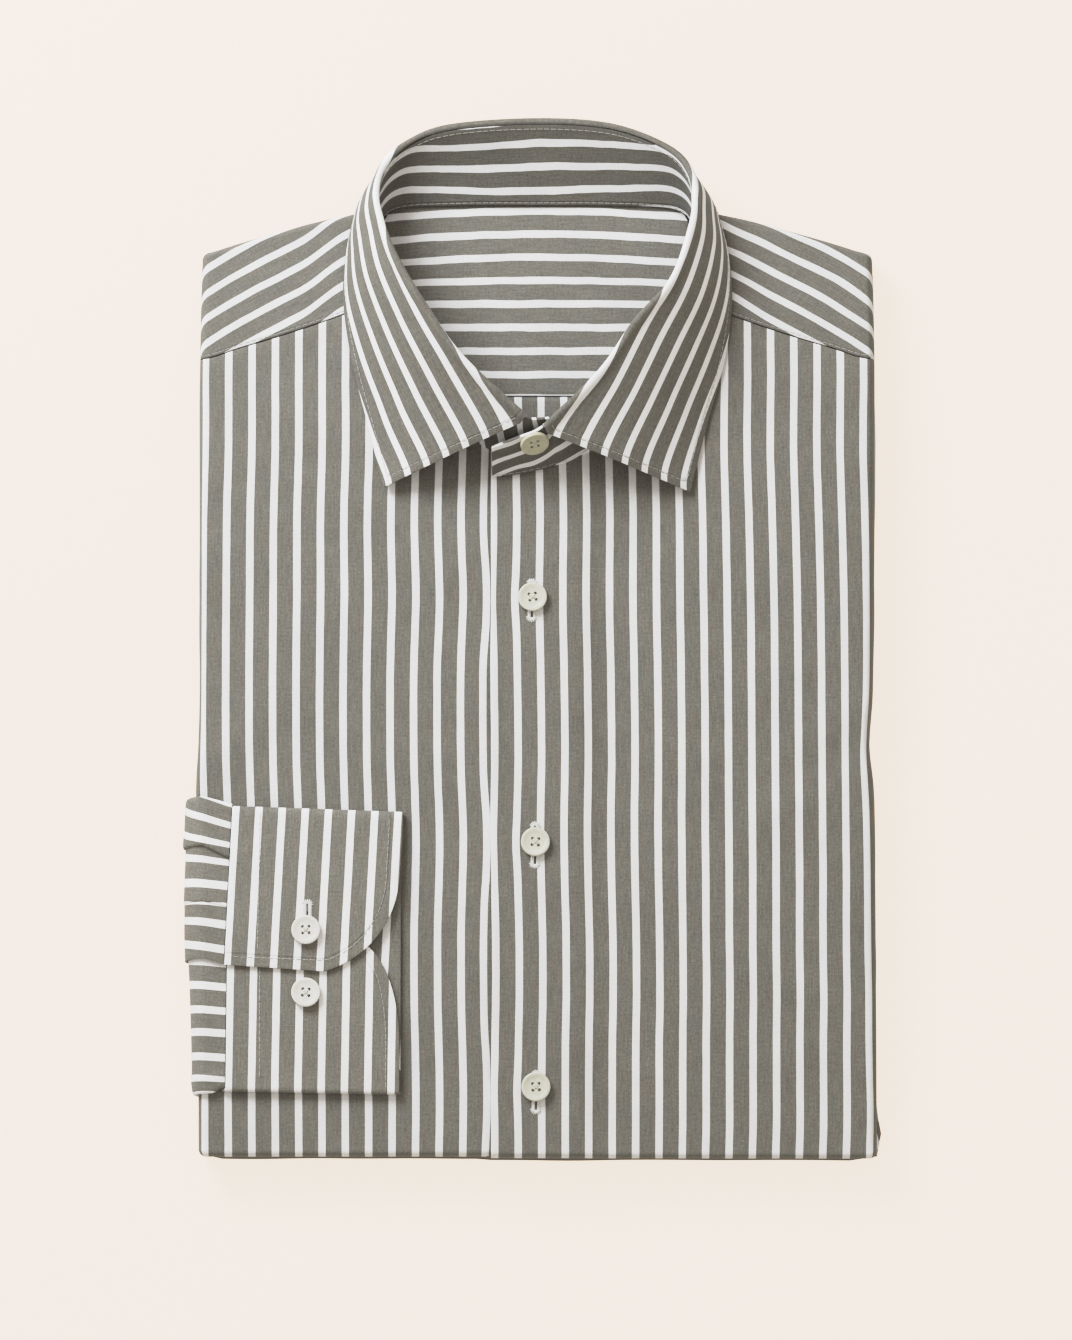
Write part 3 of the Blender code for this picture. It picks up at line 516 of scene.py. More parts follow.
# cloth material; stitchRow is how far the stitches lie from the edge, in millimetres
def clothMaterial(name, stitchRow=None, sway=weave["sway"], taupeTone=1.0, whiteTone=1.0):
    made, tree, shader = newMaterial(name)
    woven = placeGroup(tree, weaveGroup, {
        "Cloth": uvNode(tree, "stripes"),
        "Sway": sway,
        "Taupe": toned(weave["taupe"], taupeTone),
        "White": toned(weave["white"], whiteTone),
    })
    colour = woven["Colour"]
    bump = bumpNode(tree, woven["Height"], 0.35, 0.06)
    if stitchRow is not None:
        values = {"Row": stitchRow / 10.0, "Seam": uvNode(tree, "seams")}
        groove = placeGroup(tree, seamGroup, values)
        pressed = bumpNode(tree, groove["Height"], 0.7, 0.22)
        setInputs(tree, pressed, {"Normal": bump.outputs[0]})
        bump = pressed
        # painted shade along the stitched groove
        colour = mixColour(tree, 1.0, colour, grey(tree, groove["Shade"]), "MULTIPLY")
    setInputs(tree, shader, {
        "Base Color": colour,
        "Roughness": woven["Roughness"],
        "Normal": bump.outputs[0],
        "Specular IOR Level": 0.25,
        "Sheen Weight": weave["sheen"],
        "Sheen Roughness": 0.45,
    })
    return made


def threadMaterial(name, dull, bright):
    made, tree, shader = newMaterial(name)
    fuzz = noiseNode(tree, objectPlace(tree), 2600.0, 2.0)
    setInputs(tree, shader, {
        "Base Color": mixColour(tree, fuzz, dull, bright),
        "Normal": bumpNode(tree, fuzz, 0.4, 0.05).outputs[0],
        "Roughness": 0.6,
    })
    return made


def buttonMaterial(name, deep, pale):
    made, tree, shader = newMaterial(name)
    place = objectPlace(tree)
    cloud = noiseNode(tree, place, 260.0, 3.0)
    grain = noiseNode(tree, scaled(tree, place, (1.0, 3.0, 1.0)), 900.0, 2.0)
    tone = total(tree, product(tree, cloud, 0.7), product(tree, grain, 0.3))
    tone = mapRange(tree, tone, 0.3, 0.7, 0.0, 1.0)
    setInputs(tree, shader, {
        "Base Color": mixColour(tree, tone, deep, pale),
        "Roughness": mapRange(tree, grain, 0.3, 0.7, 0.30, 0.42),
        "Normal": bumpNode(tree, cloud, 0.15, 0.05).outputs[0],
        "Subsurface Weight": 0.15,
        "Subsurface Radius": (0.6 * mm, 0.5 * mm, 0.4 * mm),
    })
    return made


# the shaded cloth seen through a slit
def slitMaterial(name, dark, light):
    made, tree, shader = newMaterial(name)
    tone = mixColour(tree, noiseNode(tree, objectPlace(tree), 900.0, 2.0), dark, light)
    setInputs(tree, shader, {"Base Color": tone, "Roughness": 0.95})
    return made


bodyLook = clothMaterial("stripedCloth", whiteTone=0.87)
yokeLook = clothMaterial("yokeCloth", yoke["seamStitch"], 0.02, whiteTone=0.88)
innerLook = clothMaterial("innerCloth", None, 0.028, taupeTone=1.08, whiteTone=0.93)
leafLook = clothMaterial("collarCloth", 2.6, 0.008)
# painted shade: the collar stand's cloth is a darker copy (taupe 0.82, white 0.92) for the shade
# that falls inside the collar
standShadedLook = clothMaterial("standClothPaintedShade", 1.0, 0.035, taupeTone=0.82, whiteTone=0.92)
cuffLook = clothMaterial("cuffCloth", 4.3, taupeTone=1.13)
sleeveLook = clothMaterial("sleeveCloth", taupeTone=1.11)
threadLook = threadMaterial("seamThread", (0.34, 0.335, 0.31, 1.0), (0.50, 0.495, 0.46, 1.0))
holeLook = threadMaterial("buttonholeThread", (0.58, 0.58, 0.56, 1.0), (0.78, 0.78, 0.76, 1.0))
buttonThreadLook = threadMaterial(
    "buttonThread", (0.55, 0.54, 0.48, 1.0), (0.70, 0.69, 0.63, 1.0)
)
buttonLook = buttonMaterial("buttonResin", (0.50, 0.49, 0.405, 1.0), (0.59, 0.58, 0.49, 1.0))
paleButtonLook = buttonMaterial(
    "paleButtonResin", (0.62, 0.595, 0.54, 1.0), (0.72, 0.70, 0.64, 1.0)
)
# painted shade: a darker copy of the button resin for the collar button, for the shade of the
# collar's leaves over it
shadedButtonLook = buttonMaterial(
    "shadedButtonResin", (0.42, 0.405, 0.30, 1.0), (0.50, 0.485, 0.365, 1.0)
)
slitLook = slitMaterial("slitShadow", (0.035, 0.032, 0.028, 1.0), (0.09, 0.083, 0.07, 1.0))

print("stage: cloth tools")

seamFar = 9.0    # where no seam is near


def deselectAll():
    bpy.ops.object.select_all(action="DESELECT")


def makeActive(piece):
    deselectAll()
    piece.select_set(True)
    bpy.context.view_layer.objects.active = piece


def applyAll(piece):
    makeActive(piece)
    for modifier in list(piece.modifiers):
        bpy.ops.object.modifier_apply(modifier=modifier.name)


def addPiece(name, mesh, look):
    mesh.materials.clear()
    mesh.materials.append(look)
    piece = bpy.data.objects.new(name, mesh)
    bpy.context.scene.collection.objects.link(piece)
    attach(piece, "root")
    return piece


def toFrame(point):
    return (point + originShift) * mm


# an empty mesh with maps of the stripes and the seams, and what adds a face to it
def startMesh():
    solid = bmesh.new()
    stripes, seams = [solid.loops.layers.uv.new(name) for name in ("stripes", "seams")]

    def addFace(corners, onStripes, fromSeam):
        face = solid.faces.new(corners)
        face.smooth = True
        for loop, place, distance in zip(face.loops, onStripes, fromSeam):
            loop[stripes].uv = place
            loop[seams].uv = distance

    return solid, addFace


def finishMesh(name, solid):
    mesh = bpy.data.meshes.new(name)
    solid.to_mesh(mesh)
    solid.free()
    return mesh


# rows of points, with their places on the stripes, make a sheet of cloth, which
# then gets its wall; the groove of the stitches follows the sewn lines
def makeCloth(
    name, node, rows, places, look,
    wall=cloth["wall"], middle=False, flip=False, sewn=(),
):
    grid, addFace = startMesh()
    points = [[grid.verts.new(toFrame(p)) for p in row] for row in rows]
    fromSeam = seamDistances(rows, sewn)
    for j in range(len(rows) - 1):
        for i in range(len(rows[0]) - 1):
            corners = [(j, i), (j, i + 1), (j + 1, i + 1), (j + 1, i)]
            if flip:
                corners.reverse()
            addFace(*[[values[a][b] for a, b in corners] for values in (points, places, fromSeam)])
    piece = addPiece(name, finishMesh(name, grid), look)
    thickness = piece.modifiers.new("wall", "SOLIDIFY")
    thickness.thickness = wall * mm
    thickness.offset = 0.0 if middle else -1.0
    roundEdges(piece, cloth["roundedEdge"], 2, 60.0)
    bpy.ops.object.shade_smooth_by_angle(angle=math.radians(50.0))
    dress(piece, node)
    return piece


# bevels the sharp edges and applies all modifiers
def roundEdges(piece, width, segments, degrees):
    rounding = piece.modifiers.new("rounded edges", "BEVEL")
    rounding.width = width * mm
    rounding.segments = segments
    rounding.limit_method = "ANGLE"
    rounding.angle_limit = math.radians(degrees)
    applyAll(piece)


# distance in centimetres from the sewn lines, and the place along them; a sewn line
# belongs to the rows from its first to its last
def seamDistances(rows, sewn):
    if not sewn:
        return [[(seamFar, 0.0)] * len(row) for row in rows]
    found = []
    for number, row in enumerate(rows):
        line = []
        paths = [path for path, first, last in sewn if first <= number <= last]
        for p in row:
            best = (seamFar, 0.0)
            for path in paths:
                for k, (a, b) in enumerate(zip(path, path[1:])):
                    if abs(a.x - p.x) > 16.0 or abs(a.y - p.y) > 16.0:
                        continue
                    run = b - a
                    t = min(1.0, max(0.0, (p - a).dot(run) / max(run.length_squared, 1e-9)))
                    away = (p - (a + run * t)).length / 10.0
                    if away < best[0]:
                        best = (away, (k + t) * 0.2)
            line.append(best)
        found.append(line)
    return found


def dress(piece, node):
    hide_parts(node)


def shoulderFold(x):
    if abs(x) < yoke["backEdgeHalf"]:
        return yoke["backEdge"]
    return along(yoke["front"], abs(x), "fold")


print("stage: folded layers")

fronts = {
    "step": 2.6,
    "rowStep": 3.0,
    "length": 300.0,
    # how far the white stripes have crept sideways, up the length of the front
    "drift": table(
        "y leftOuter leftInner inner outer",
        (2, 0.9, 0.25, 0, -0.35), (14, 0.8, 0.25, 0, 0), (44, 0.5, 0, 0.1, 0),
        (60, 0.2, -0.3, 0.4, 0.2), (83, -0.3, -0.4, 0.35, 0), (106, 0.2, 0, -0.2, 0.1),
        (129, 0.2, 0, -0.4, 0), (152, -0.6, -0.6, -0.05, -0.1), (183, -0.85, -0.7, -0.35, -0.15),
        (214, -0.8, -0.1, -0.85, -0.35), (244, -0.75, -0.6, -0.6, -0.9),
        (271, -0.25, 0, -1, -1.5), (298, -0.35, -0.2, -0.7, -1.2),
    ),
    # how far the last white stripe on the right has crept in along the fold
    "edgeDrift": table(
        "y in",
        (20, 0), (45, 0.5), (75, 0.75), (106, 0.95), (130, 1.2), (151, 2.1), (165, 1.3),
        (181, 0.65), (212, 0.3), (300, 0),
    ),
    "firstRight": -15.58,
    "repeatRight": 8.87,
    "firstLeft": -117.04,
    "repeatLeft": 8.91,
    "seamDip": 0.3,           # the cloth dips where the yoke is sewn on
    "buttonBow": 0.55,        # the stripes bow beside each button, over this reach
    "bowReach": 9.0,
    "buttonPull": 0.35,       # the left front is drawn towards each button
    "pullReach": 15.0,
}

stack = {
    "underFront": 0.85,
    "columns": 44,
    "rows": 64,
    "hemInset": 5.05,
    "sleeveRecess": 12.0,
    "recessFrom": 18.5,
    "recessTo": 137.5,
    # painted shade: under the hem, and up the left side to here, the layers' edges are plain taupe
    # without white stripes, standing for the shadow under the hem
    "plainTo": 24.0,
    "hemOut": 0.85,
    "hemOutRight": 0.45,      # and more under the front that laps over
    "innerRoll": 1.1,
    "innerEnd": 8.55,
    # each folded layer: middle height, half thickness, how far it comes out, and how
    # much that wanders
    "layers": table(
        "z half out sway",
        (5.15, 0.80, 3.1, 0.5), (3.10, 0.85, 3.4, 0.6), (1.05, 0.85, 2.8, 0.5),
    ),
    "groove": 0.2,
    "grooveAbove": 0.12,
    "roundness": 0.7,
    "baseOut": 1.6,
    "leftDrift": 0.6,         # its stripes lie this far from those of the front
    "rightCount": 11.0,       # and are counted on from there at the lap
    # the tail folded up beneath: half width and height of its curved hem
    "tailHem": table(
        "x y",
        (0, 318), (60, 312), (96, 286), (122, 248),
    ),
    "tailStep": 0.7,
    "cornerBulge": 1.5,       # the layers beneath come out at the right of the hem
    "cornerPlace": (9.0, 7.0),
    "swaySize": 34.0,
    "layerWave": 0.18,
}


def coreHeight(x, y):
    underFront = bodyHeight(x, y) - cloth["wall"] - stack["underFront"]
    underYoke = neck["floor"] - cloth["wall"] - cloth["layerGap"]
    away = smoothStep((neckDistance(x, y) - neck["dipStart"]) / neck["dipSlope"])
    return underYoke + (underFront - underYoke) * away


def tailHeight(x, y):
    hem = along(stack["tailHem"], abs(x), "y")
    inner = min(1.0, max(0.0, (body["half"] - 6.0 - abs(x)) / 4.0))
    upper = min(1.0, max(0.0, (352.0 - y) / 6.0))
    return stack["tailStep"] * smoothStep((y - hem) / 1.2) * smoothStep(inner) * smoothStep(upper)


# corners of the stack and the way out from it, all round its edge
def stackRim(across, up):
    slant = math.sqrt(0.5)
    corners = {
        (0, 0): (-slant, -slant), (0, across): (slant, -slant),
        (up, across): (slant, slant), (up, 0): (-slant, slant),
    }
    rim = [(0, i, (0.0, -1.0)) for i in range(across)]
    rim += [(j, across, (1.0, 0.0)) for j in range(up)]
    rim += [(up, i, (0.0, 1.0)) for i in range(across, 0, -1)]
    rim += [(j, 0, (-1.0, 0.0)) for j in range(up, 0, -1)]
    return [(j, i, corners.get((j, i), heading)) for j, i, heading in rim]


# the profile down the edge: rolls in under the front, then layer by layer
def stackProfile():
    profile = [{"turn": math.radians(30.0 * k)} for k in range(6)]
    for number, layer in enumerate(stack["layers"]):
        top = layer["z"] + layer["half"] + stack["grooveAbove"]
        profile.append({"z": top, "layer": number, "bulge": 0.0})
        for degrees in (80.0, 55.0, 30.0, 0.0, -30.0, -55.0, -80.0):
            angle = math.radians(degrees)
            z = layer["z"] + layer["half"] * math.sin(angle)
            bulge = math.cos(angle) ** stack["roundness"]
            profile.append({"z": z, "layer": number, "bulge": bulge})
    profile.append({"z": 0.0, "out": stack["baseOut"], "layer": 2, "bulge": 0.0})
    return profile


# how far out and how high one step of the profile lies beside the base point
def stackEdge(base, heading, step):
    if "turn" in step:
        share = (1.0 - math.cos(step["turn"])) / (1.0 - math.cos(body["rollAngle"]))
        z = base.z - (base.z - stack["innerEnd"]) * share
        return stack["innerRoll"] * math.sin(step["turn"]), z
    layer = stack["layers"][step["layer"]]
    size = stack["swaySize"]
    seed = Vector((base.x / size, base.y / size, 3.0 * step["layer"]))
    full = layer["out"] + noise.noise(seed) * layer["sway"]
    out = step.get("out", stack["groove"] + (full - stack["groove"]) * step["bulge"])
    if heading == (0.0, -1.0):
        hemOut = stack["hemOut"]
        if base.x > fastening["edge"]:
            hemOut += stack["hemOutRight"]
        out += hemOut * smoothStep((outer + 4.0 - abs(base.x)) / 9.0)
    if heading[0] > 0 and step["layer"] < 2:
        middle, reach = stack["cornerPlace"]
        out += stack["cornerBulge"] * bell((base.y - middle) / reach) * step["bulge"]
    if heading == (-1.0, 0.0) and stack["recessFrom"] <= base.y <= stack["recessTo"]:
        out = min(out, 0.0) - stack["sleeveRecess"]
    rise = noise.noise(seed * 1.7 + Vector((9.0, 0.0, 0.0))) * stack["layerWave"]
    return out, step["z"] + (rise if step["z"] > 0.3 else 0.0)


def buildStack():
    across, up = stack["columns"], stack["rows"]
    capRows = []
    for j in range(up + 1):
        row = []
        for i in range(across + 1):
            share = i / across
            nominal = (2.0 * share - 1.0) * outer
            fold = shoulderFold(nominal) - body["sideRoll"] - cloth["layerGap"]
            y = stack["hemInset"] + j / up * (fold - stack["hemInset"])
            x = sideStart(y, -1 if share < 0.5 else 1) if i in (0, across) else nominal
            row.append(Vector((x, y, coreHeight(x, y))))
        capRows.append(row)
    rim = stackRim(across, up)
    count = len(rim)
    loops = []
    for step in stackProfile():
        ring = []
        for j, i, heading in rim:
            base = capRows[j][i]
            out, z = stackEdge(base, heading, step)
            ring.append(Vector((base.x + heading[0] * out, base.y + heading[1] * out, z)))
        loops.append(ring)
    solid, addFace = startMesh()
    verts = [[solid.verts.new(toFrame(p)) for p in ring] for ring in loops]
    lengths = [[0.0] * count]
    for upper, lower in zip(loops, loops[1:]):
        lengths.append([was + (b - a).length for was, a, b in zip(lengths[-1], upper, lower)])

    def placeOn(ringIndex, k):
        j, i, heading = rim[k % count]
        base, length = capRows[j][i], lengths[ringIndex][k % count]
        return base.x + heading[0] * length, base.y + heading[1] * length

    # plain gives painted shade: plain taupe with no white stripe, where the layers show under the
    # hem
    def stripeAt(x, y, plain):
        if plain:
            return 0.5, y / stripeRepeat
        if x < fastening["edge"]:
            left = x - fronts["firstLeft"] - stack["leftDrift"]
            return left / fronts["repeatLeft"], y / stripeRepeat
        right = (x - fronts["firstRight"]) / fronts["repeatRight"]
        return right + stack["rightCount"], y / stripeRepeat

    def coverFace(corners, values, plain=False):
        addFace(corners, [stripeAt(x, y, plain) for x, y in values], [(seamFar, 0.0)] * 4)

    for r in range(len(verts) - 1):
        for k in range(count):
            j, i, _ = rim[k]
            # painted shade: the layers' edges under the hem are plain taupe
            atHem = k < across or (i == 0 and capRows[j][i].y < stack["plainTo"])
            around = [(r, k), (r + 1, k), (r + 1, k + 1), (r, k + 1)]
            corners = [verts[a][b % count] for a, b in around]
            coverFace(corners, [placeOn(a, b) for a, b in around], plain=r > 5 and atHem)
    for ring, bottom in ((verts[0], False), (verts[-1], True)):
        edge = {(j, i): vert for (j, i, _), vert in zip(rim, ring)}
        for j in range(1, up):
            for i in range(1, across):
                x, y, z = capRows[j][i]
                point = Vector((x, y, tailHeight(x, y) if bottom else z))
                edge[j, i] = solid.verts.new(toFrame(point))
        for j in range(up):
            for i in range(across):
                around = [(j, i), (j, i + 1), (j + 1, i + 1), (j + 1, i)]
                if bottom:
                    around.reverse()
                coverFace([edge[spot] for spot in around], [capRows[a][b].xy for a, b in around])
    piece = addPiece("foldedLayers", finishMesh("foldedLayers", solid), innerLook)
    makeActive(piece)
    bpy.ops.object.shade_smooth_by_angle(angle=math.radians(60.0))
    dress(piece, "folded_layers")
    return piece


foldedLayers = buildStack()

print("stage: fronts")


def frontTopEdge(x):
    seam = along(yoke["front"], abs(x), "seam") - cloth["seamGap"] / 2.0
    reach = abs(x) / (neck["half"] * neck["frontScale"])
    if reach >= 1.0:
        return seam
    forward = neck["length"] * neck["frontScale"] * math.sqrt(1.0 - reach * reach)
    return min(seam, neck["centreY"] - forward)


def frontStripe(x, y, side):
    def creep(column):
        return along(fronts["drift"], y, column)

    away = [y - row["y"] for row in fastening["buttons"]]
    if side < 0:
        drift = creep("leftOuter")
        drift += (creep("leftInner") - drift) * smoothStep((x + 110.0) / 70.0)
        pull = fronts["buttonPull"] * smoothStep((x + 70.0) / 45.0)
        drift += sum(pull * bell(d / fronts["pullReach"]) for d in away)
        # painted shade: between two buttons the stripes move so that taupe shows just beside the
        # lapped edge, darkening the gap as its shadow would
        free = smoothStep((min(map(abs, away)) - 8.0) / 18.0)
        drift -= fastening["edgeShade"] * smoothStep((x - fastening["edge"] + 7.0) / 3.0) * free
        return (x - fronts["firstLeft"] - drift) / fronts["repeatLeft"], y / stripeRepeat
    drift = creep("inner")
    drift += (creep("outer") - drift) * smoothStep((x - 20.0) / 70.0)
    bow = fronts["buttonBow"] * bell((x + 8.0) / 7.0)
    drift -= sum(bow * bell(d / fronts["bowReach"]) for d in away)
    drift -= along(fronts["edgeDrift"], y, "in") * smoothStep((x - 118.0) / 6.0)
    return (x - fronts["firstRight"] - drift) / fronts["repeatRight"], y / stripeRepeat


def buildFront(name, side, columns, heightAt, hemAt, node):
    count = round(fronts["length"] / fronts["rowStep"])
    shares = [k / count * 0.985 for k in range(count + 1)] + [0.9895, 0.994, 0.9975, 1.0]

    def clothAt(down, across):
        (g, v), (x, u) = down, across
        nominal = side * outer if x is None else x
        low = body["sideRoll"] + hemAt(nominal)
        top = frontTopEdge(nominal)
        y = low + g * (top - low)
        place = sideStart(y, side) if x is None else x
        if side > 0 and place < fastening["edge"] + fastening["wobbleReach"]:
            free = 1.0 - (place - fastening["edge"]) / fastening["wobbleReach"]
            place += along(fastening["edgeWobble"], y, "out") * free
        height = heightAt(place, y)
        if abs(nominal) > yoke["corner"]:
            height -= fronts["seamDip"] * bell((top - y) / 1.1)
        point, flat = wrapped(place, y, height, side, u, -1, v)
        return point, frontStripe(flat[0], flat[1], side)

    down = [(0.0, v) for v in reversed(rolls)] + [(g, 0.0) for g in shares]
    rows, places = clothGrid(down, rolledColumns(columns), clothAt)
    return makeCloth(name, node, rows, places, bodyLook, flip=side < 0)


def underHeight(x, y):
    creased = smoothStep((fastening["edge"] - 1.0 - x) / 3.0)
    return bodyHeight(x, y) + creaseHeight(x, y) * creased


def underHem(x):
    covered = smoothStep((x - fastening["edge"]) / 2.0 + 1.0)
    return fastening["hemStep"] + (fastening["hemLapStep"] - fastening["hemStep"]) * covered


edge = fastening["edge"]
columns = spaced(edge, edge + 5.0, 1.25)[:-1] + spaced(edge + 5.0, outer, fronts["step"])[:-1]
frontOver = buildFront(
    "frontButtonholeSide", 1, columns, frontHeight, lambda x: 0.0, "front_buttonhole_side"
)
columns = spaced(fastening["lapEnd"] - 1.0, edge - 2.0, 4.0)[:-1]
columns += spaced(edge - 2.0, -outer, fronts["step"])[:-1]
frontUnder = buildFront(
    "frontButtonSide", -1, columns, underHeight, underHem, "front_button_side"
)

print("stage: yoke and back")


def yokeStripe(x, y, side):
    bend = yoke["sideBend"] * max(0.0, (abs(x) - 104.0) / 22.0) ** 2
    nearCollar = smoothStep((90.0 - abs(x)) / 16.0)
    if side < 0:
        near, overall, outwards = yoke["leftBends"]
        bend -= near * nearCollar + overall + outwards * smoothStep((abs(x) - 85.0) / 40.0)
    else:
        outwards, high, low = yoke["rightBends"]
        bend -= outwards * smoothStep((x - 92.0) / 30.0) * smoothStep((y - 322.0) / 20.0)
        bend += high * nearCollar * smoothStep((y - 345.0) / 10.0)
        bend -= low * nearCollar * smoothStep((342.0 - y) / 10.0)
    slope, (first, pitch) = yoke["slant"], yoke["stripes"][side]
    place = (y + bend) * math.cos(slope) + side * x * math.sin(slope)
    lengthwise = x * math.cos(slope) - side * y * math.sin(slope)
    return (place - first) / pitch, lengthwise / stripeRepeat


def neckEdgeX(y):
    forward = max(0.0, neck["centreY"] - y) / neck["length"]
    return neck["half"] * math.sqrt(1.0 - min(1.0, forward) ** 2)


def buildShoulder(name, side, node):
    columns = spaced(yoke["corner"], outer, 2.2)[:-1]
    shares = [0.0, 0.02, 0.045, 0.075] + [0.1 + 0.9 * k / 16 for k in range(17)]

    def clothAt(up, across):
        (g, v), (x, u) = up, across
        nominal = outer if x is None else x
        low = along(yoke["front"], nominal, "seam") + cloth["seamGap"] / 2.0
        high = along(yoke["front"], nominal, "fold") - body["sideRoll"]
        y = low + g * (high - low)
        if x is None:
            place = sideStart(y, side)
        else:
            free = max(0.0, 1.0 - (x - yoke["corner"]) / yoke["neckReach"])
            place = side * (x + (neckEdgeX(y) + neck["clear"] - yoke["corner"]) * free)
        puff = yoke["seamPuff"] * bell((y - low - 0.8) / 1.1)
        point, flat = wrapped(place, y, bodyHeight(place, y) + puff, side, u, 1, v)
        return point, yokeStripe(flat[0], flat[1], side)

    up = [(g, 0.0) for g in shares] + [(1.0, v) for v in rolls]
    rows, places = clothGrid(up, rolledColumns(columns), clothAt)
    sewn = [(rows[0], 0, 8)]
    return makeCloth(name, node, rows, places, yokeLook, flip=side < 0, sewn=sewn), rows


yokeRight, yokeRightRows = buildShoulder("yokeRight", 1, "yoke_right")
yokeLeft, yokeLeftRows = buildShoulder("yokeLeft", -1, "yoke_left")


def neckFloorHeight(x, y):
    height, across, lengthwise = neck["floorWave"]
    return neck["floor"] + noise.noise(Vector((x / across, y / lengthwise, 8.0))) * height


def buildNeckFloor():
    def insideAt(y, share):
        x = along(yoke["inside"], y, "half") * share
        droop = 1.7 * ((x - 2.0) / 46.0) ** 2 * smoothStep((y - 322.0) / 26.0)
        droop += 0.7 * smoothStep((340.0 - y) / 40.0)
        first, pitch = yoke["insideStripes"]
        point = Vector((x, y, neckFloorHeight(x, y)))
        return point, ((y + droop - first) / pitch, x / stripeRepeat)

    def backAt(y, share):
        forward = (neck["centreY"] - y) / neck["length"]
        x = neck["half"] * math.sqrt(neck["floorScale"] ** 2 - forward**2) * share
        sink = 0.35 * bell((292.6 - y) / 1.4)
        first, pitch = yoke["backStripes"]
        point = Vector((x, y, neckFloorHeight(x, y) - sink))
        return point, ((x - first) / pitch, y / stripeRepeat)

    pieces = []
    for name, node, ys, at in (
        ("yokeInside", "yoke_inside", spaced(292.9, 368.6, 2.4), insideAt),
        ("backPanel", "back", spaced(276.0, 292.6, 2.0), backAt),
    ):
        rows, places = clothGrid(ys, [k / 24 * 2.0 - 1.0 for k in range(25)], at)
        pieces.append(makeCloth(name, node, rows, places, innerLook))
    return pieces


yokeInside, backPanel = buildNeckFloor()

print("stage: collar")

